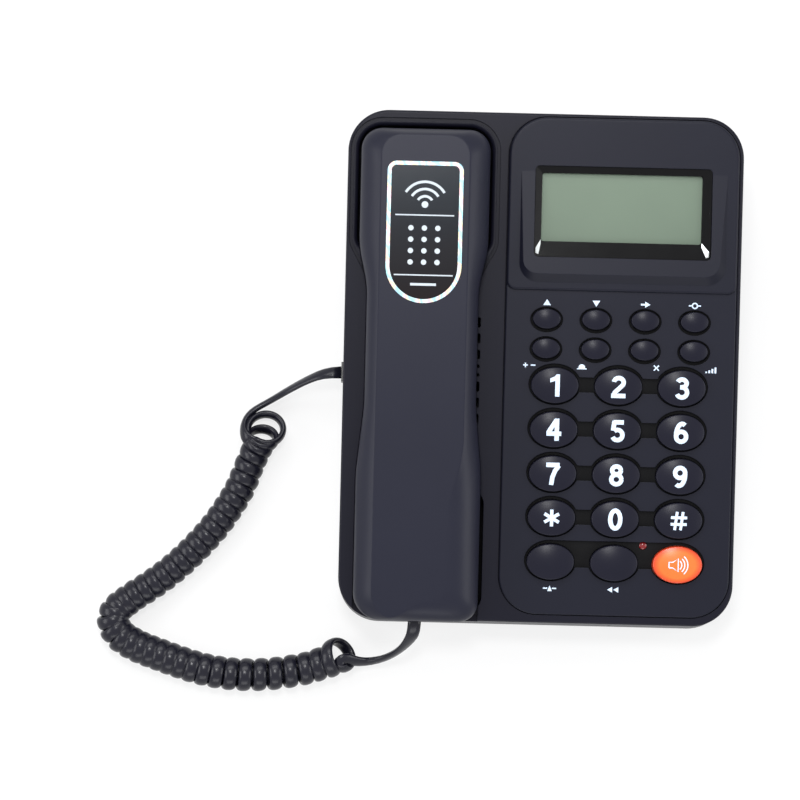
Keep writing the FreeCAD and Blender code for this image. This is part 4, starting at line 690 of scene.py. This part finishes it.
def window_frame():
    """Four mitred borders that slope from the window's edge down to the pane, closed by a back."""
    loops = [(WINDOW, RIM_LEVEL), (VIEW, BORDER_FOOT), (VIEW, WINDOW_BACK), (WINDOW, WINDOW_BACK)]
    points = np.array([deck(u, v, w) for box, w in loops for u, v in box_corners(*box)])
    faces = grid_faces(4, 4, wrap_rows=True, wrap_columns=True)
    frame_piece = solid_mesh("window_frame", points, faces, window_black, smooth=False)
    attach(frame_piece, "base")
    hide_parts("display_window")


def window_pane():
    """Clear pane over the liquid crystal."""
    points = np.array([deck(u, v, w) for w in (PANE_LEVEL, WINDOW_BACK) for u, v in box_corners(*VIEW)])
    faces = [(0, 1, 2, 3), (7, 6, 5, 4), (0, 4, 5, 1), (1, 5, 6, 2), (2, 6, 7, 3), (3, 7, 4, 0)]
    pane = solid_mesh("window_pane", points, faces, clear_pane, smooth=False)
    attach(pane, "base")


def painted_corner_highlights():
    """Pale slivers where the lower corners of the borders meet: painted highlights for the light caught in
    the window's bevelled corners.
    """
    for side, name in ((-1, "window_corner_left"), (1, "window_corner_right")):
        view_u, window_u = VIEW[0] + side * VIEW[2], WINDOW[0] + side * WINDOW[2]
        view_v, window_v = VIEW[1] - VIEW[3], WINDOW[1] - WINDOW[3]
        tip = (view_u + side * 0.1, view_v + 0.7, 0.35)
        ring = np.array([
            tip, (window_u - side * 0.5, window_v + 3.3, 1.15), (window_u - side * 0.6, window_v + 1.3, 1.25),
            (window_u - side * 1.7, window_v + 0.9, 1.25), (view_u + side * 0.1, view_v - 1.2, 0.6)])
        points = np.vstack([deck(*(ring + (0, 0, 0.05)).T), deck(*(ring - (0, 0, 0.3)).T)])
        n = len(ring)
        faces = [tuple(range(n)), tuple(range(2 * n - 1, n - 1, -1))]
        faces += [(i, i + n, (i + 1) % n + n, (i + 1) % n) for i in range(n)]
        wedge = solid_mesh(name, points, faces, painted_highlight, smooth=False)
        turn_outward(wedge.data)
        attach(wedge, "base")


window_frame()
window_pane()
painted_corner_highlights()

# Handset cord

CORD_WIDTH, CORD_THICKNESS = 0.0052, 0.0026
GROOVE_SHARE, GROOVE_REACH = 0.03, 0.0004
COIL_TURNS, CURL_RADIUS, FIRST_ANGLE = 42.96, 0.0048, radians(75)
coil_axis = np.array([
    (-.1107, -.0288, .0066), (-.1120, -.0322, .0064), (-.1149, -.0391, .0062), (-.1178, -.0475, .0062),
    (-.1223, -.0553, .0062), (-.1272, -.0627, .0062), (-.1329, -.0695, .0062), (-.1390, -.0760, .0062),
    (-.1455, -.0819, .0062), (-.1529, -.0875, .0062), (-.1596, -.0918, .0065), (-.1680, -.0988, .0068),
    (-.1652, -.1069, .0069), (-.1569, -.1116, .0069), (-.1487, -.1144, .0069), (-.1402, -.1173, .0069),
    (-.1317, -.1198, .0069), (-.1229, -.1213, .0069), (-.1140, -.1218, .0069), (-.1051, -.1214, .0069),
    (-.0963, -.1201, .0069), (-.0876, -.1182, .0071), (-.0808, -.1154, .0078), (-.0773, -.1137, .0080)])
base_lead = np.array([
    (-.0785, -.0010, .0165), (-.0845, -.0012, .0168), (-.0916, -.0036, .0122), (-.0992, -.0072, .0066),
    (-.1070, -.0120, .0050), (-.1140, -.0160, .0052), (-.1169, -.0200, .0060), (-.1175, -.0246, .0080),
    (-.1155, -.0284, .0104)])
handset_lead = np.array([
    (-.0742, -.1142, .0118), (-.0704, -.1155, .0088), (-.0650, -.1154, .0050), (-.0580, -.1138, .0076),
    (-.0522, -.1106, .0140), (-.0484, -.1066, .0224), (-.0471, -.1030, .0280), (-.0471, -.0976, .0288)])
base_lead_facing = np.array([(0, .3, 1), (0, .6, .8), (-.2, .7, .6), (-.4, .8, .4), (-.5, .85, .1),
                             (-.7, .7, .1), (-1, .1, .1), (-1, .1, .3), (-.7, .1, .7)])
handset_lead_facing = np.array([(.2, -.5, .9), (.2, -.8, .7), (.1, -.9, .4), (.3, -.9, .2), (.5, -.9, .1),
                                (.2, -.9, .3), (0, -.6, .8), (0, -.13, 1)])


def spline_points(control, resolution):
    """Points of a smooth NURBS line of order 3 with these control points, read from a bare curve."""
    curve = bpy.data.curves.new("line", "CURVE")
    curve.dimensions = "3D"
    curve.resolution_u = resolution
    spline = curve.splines.new("NURBS")
    spline.points.add(len(control) - 1)
    spline.points.foreach_set("co", np.c_[control, np.ones(len(control))].astype(np.float32).ravel())
    spline.order_u = 3
    spline.use_endpoint_u = True
    thing = bpy.data.objects.new("line", curve)
    bpy.context.scene.collection.objects.link(thing)
    bpy.context.view_layer.update()
    mesh = bpy.data.meshes.new_from_object(thing)
    points = np.empty(len(mesh.vertices) * 3)
    mesh.vertices.foreach_get("co", points)
    bpy.data.objects.remove(thing)
    bpy.data.meshes.remove(mesh)
    bpy.data.curves.remove(curve)
    return points.reshape(-1, 3)


def coil_points(per_turn=20, steps=2000):
    """Curls of the cord about its middle line, with the way that its broad side faces at each point.

    A point turns about the line at an even angle for each step. The steps are shortest at the bend and
    longest near the handset. The curls stand nearly square to the line, wider beyond the bend; those at
    both ends are wider still and lean over, so that they show as open loops. Each curl's broad side
    tips a little, so that its edge lies over its neighbour's.
    """
    line = spline_points(coil_axis, 40)
    ways = unit(np.gradient(line, axis=0))
    along = np.r_[0, np.cumsum(np.linalg.norm(np.diff(line, axis=0), axis=1))]
    share = (np.arange(steps) + 0.5) / steps
    crowded = (0.6 * bell(share, 0.035) + 0.28 * bell(share - 0.475, 0.035)
               + 0.14 * bell(share - 0.57, 0.07) + 0.32 * step(share, 0.91, 0.96)
               + 0.2 * bell(1 - share, 0.02))
    spacing = 1 - crowded + 0.34 * step(share, 0.62, 0.88)
    progress = np.r_[0, np.cumsum(1 / spacing)]
    turn = np.linspace(0, COIL_TURNS, int(COIL_TURNS * per_turn) + 1)
    left = COIL_TURNS - turn
    share = np.interp(turn / COIL_TURNS * progress[-1], progress, np.arange(steps + 1) / steps)
    centre = np.stack([np.interp(share * along[-1], along, line[:, i]) for i in range(3)], -1)
    way = unit(np.stack([np.interp(share * along[-1], along, ways[:, i]) for i in range(3)], -1))
    side = unit(np.cross(way, (0, 0, 1)))
    lean = radians(70) * bell(turn, 2.9) - radians(33) * bell(left, 1.1)
    up = np.cross(side, way) * np.cos(lean)[:, None] + way * np.sin(lean)[:, None]
    angle = FIRST_ANGLE + 2 * pi * turn
    out = side * np.cos(angle)[:, None] + up * np.sin(angle)[:, None]
    wider_beyond_bend = 0.0005 * step(share, 0.42, 0.54)
    wider_ends = 0.0025 * bell(turn, 1.4) + 0.0011 * bell(left - 0.6, 0.55)
    radius = (CURL_RADIUS + wider_beyond_bend + wider_ends) / cos(pi / per_turn)
    skew = 0.0008 * step(turn, 2, 5) * step(left, 1, 3) - 0.0014 * bell(left, 0.5)
    shift = skew * np.cos(angle) - radius * np.sin(lean)
    points = centre + out * radius[:, None] + way * shift[:, None]
    overlap = 0.22 * step(turn, 2, 6) * (1 - 0.6 * step(share, 0.5, 0.65)) * step(left, 0, 2)
    return points, unit(out + way * overlap[:, None])


def cord_shape(path, facing, ring=20):
    """Flat cord along a path: an oval section with a faint groove down each broad side.

    The section's width is carried square to the path and to the direction in which its broad side faces.
    """
    way = unit(np.gradient(path, axis=0))
    out = unit(facing - way * np.sum(facing * way, axis=1, keepdims=True))
    across = np.cross(way, out)
    angle = np.arange(ring) / ring * 2 * pi
    c, s = np.cos(angle), np.sin(angle)
    wide = c * CORD_WIDTH / 2
    thick = s * CORD_THICKNESS / 2 * (1 - GROOVE_SHARE * bell(wide, GROOVE_REACH))
    section = across[:, None] * wide[None, :, None] + out[:, None] * thick[None, :, None]
    points = path[:, None] + section
    rows = len(path)
    faces = grid_faces(rows, ring, wrap_columns=True).tolist()
    faces += [list(range(ring))[::-1], list(range((rows - 1) * ring, rows * ring))]
    return points, faces


curls, curls_out = coil_points()
route = np.vstack([base_lead, curls, handset_lead])
turned = np.vstack([base_lead_facing, curls_out, handset_lead_facing])
cord_path = spline_points(route, 3)
cord_turned = spline_points(turned, 3)
cord = solid_mesh("handset_cord", *cord_shape(cord_path, cord_turned), cord_finish)
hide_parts("cord_base_lead", "cord_coil", "cord_handset_lead")
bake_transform(cord)

# Stage, lamps and camera

SEEN_RAYS = ("Is Camera Ray", "Is Glossy Ray", "Is Transmission Ray")
SURROUND_COLOUR, SURROUND_STRENGTH = (0.95, 0.97, 1, 1), 0.42
CAMERA_RISE, CAMERA_ROLL, CAMERA_DISTANCE = radians(84.0), radians(1.4), 1.4
CAMERA_AIM = Vector((-.0549, -.0129, .030))
FOCAL_PIXELS, PICTURE_PIXELS, SENSOR_WIDTH = 3551.86, 800, 36.0
LAMPS = {
    "lamp_back": ((-.15, .75, .95), (0, 0, 0), (1.0, 0.5), 7.5),
    "lamp_left": ((-1.0, -.1, .6), (0, 0, 0), (0.8, 0.5), 5.5),
    "lamp_right": ((1.0, -.1, .6), (0, 0, 0), (0.8, 0.5), 5.5),
    "lamp_front": ((-.1, -1.1, .5), (0, 0, 0), (1.0, 0.4), 4.0),
    "lamp_top": ((-.1, .2, 1.2), (-.05, 0, 0), (0.2, 0.2), 5.0),
}

bpy.context.scene.view_settings.view_transform = "Standard"


def stage_floor():
    """Pale floor, mostly bright of itself to the eye and in reflections, which keeps a soft shadow."""
    made = Finish("floor_white")
    path = made.tree.nodes.new("ShaderNodeLightPath")
    seen, glossy, through = [Value(made, path.outputs[ray]) for ray in SEEN_RAYS]
    factor = (seen + glossy + through).math("MINIMUM", 1.0) * 0.75
    matt = made.node("BsdfDiffuse", None, {"Color": (0.9, 0.9, 0.9, 1)})
    bright = made.node("Emission", None, {"Color": (1, 1, 1, 1), "Strength": 1.0})
    finish = made.finish(made.node("MixShader", None, [factor, matt, bright]))
    points = [(x, y, -.0002) for x, y in ((-3, -3), (3, -3), (3, 3), (-3, 3))]
    floor = solid_mesh("floor", points, [(0, 1, 2, 3)], finish, smooth=False)


def stage_world():
    """Even grey surroundings for the light, white to the eye and in reflections."""
    world = bpy.data.worlds.new("surroundings")
    world.use_nodes = True
    tree = world.node_tree
    tree.nodes.clear()
    path = tree.nodes.new("ShaderNodeLightPath")
    dim = tree.nodes.new("ShaderNodeBackground")
    dim.inputs["Color"].default_value = SURROUND_COLOUR
    dim.inputs["Strength"].default_value = SURROUND_STRENGTH
    white = tree.nodes.new("ShaderNodeBackground")
    white.inputs["Color"].default_value = (1, 1, 1, 1)
    mix = tree.nodes.new("ShaderNodeMixShader")
    out = tree.nodes.new("ShaderNodeOutputWorld")
    total = path.outputs[SEEN_RAYS[0]]
    for more in SEEN_RAYS[1:]:
        both = tree.nodes.new("ShaderNodeMath")
        both.operation, both.use_clamp = "ADD", True
        tree.links.new(total, both.inputs[0])
        tree.links.new(path.outputs[more], both.inputs[1])
        total = both.outputs[0]
    tree.links.new(total, mix.inputs[0])
    tree.links.new(dim.outputs[0], mix.inputs[1])
    tree.links.new(white.outputs[0], mix.inputs[2])
    tree.links.new(mix.outputs[0], out.inputs[0])
    bpy.context.scene.world = world


def lamp_panel(name, place, aim, size, power):
    """Soft rectangular lamp that points at a place."""
    light = bpy.data.lights.new(name, "AREA")
    light.shape = "RECTANGLE"
    light.size, light.size_y = size
    light.energy = power
    thing = bpy.data.objects.new(name, light)
    bpy.context.scene.collection.objects.link(thing)
    thing.location = place
    thing.rotation_mode = "QUATERNION"
    thing.rotation_quaternion = (Vector(aim) - Vector(place)).to_track_quat("-Z", "Y")


def stage_camera():
    """Camera nearly straight above, a little in front, turned with the photograph."""
    back = Vector((0, -cos(CAMERA_RISE), sin(CAMERA_RISE)))
    right = Vector((1, 0, 0))
    up = Vector((0, sin(CAMERA_RISE), cos(CAMERA_RISE)))
    x = right * cos(CAMERA_ROLL) + up * sin(CAMERA_ROLL)
    y = up * cos(CAMERA_ROLL) - right * sin(CAMERA_ROLL)
    camera = bpy.data.cameras.new("camera")
    camera.sensor_width = SENSOR_WIDTH
    camera.lens = SENSOR_WIDTH * FOCAL_PIXELS / PICTURE_PIXELS
    thing = bpy.data.objects.new("camera", camera)
    bpy.context.scene.collection.objects.link(thing)
    turn = Matrix((x, y, back)).transposed()
    thing.matrix_world = Matrix.Translation(CAMERA_AIM + back * CAMERA_DISTANCE) @ turn.to_4x4()
    bpy.context.scene.camera = thing


stage_floor()
stage_world()
stage_camera()
for name, settings in LAMPS.items():
    lamp_panel(name, *settings)

bpy.context.view_layer.update()
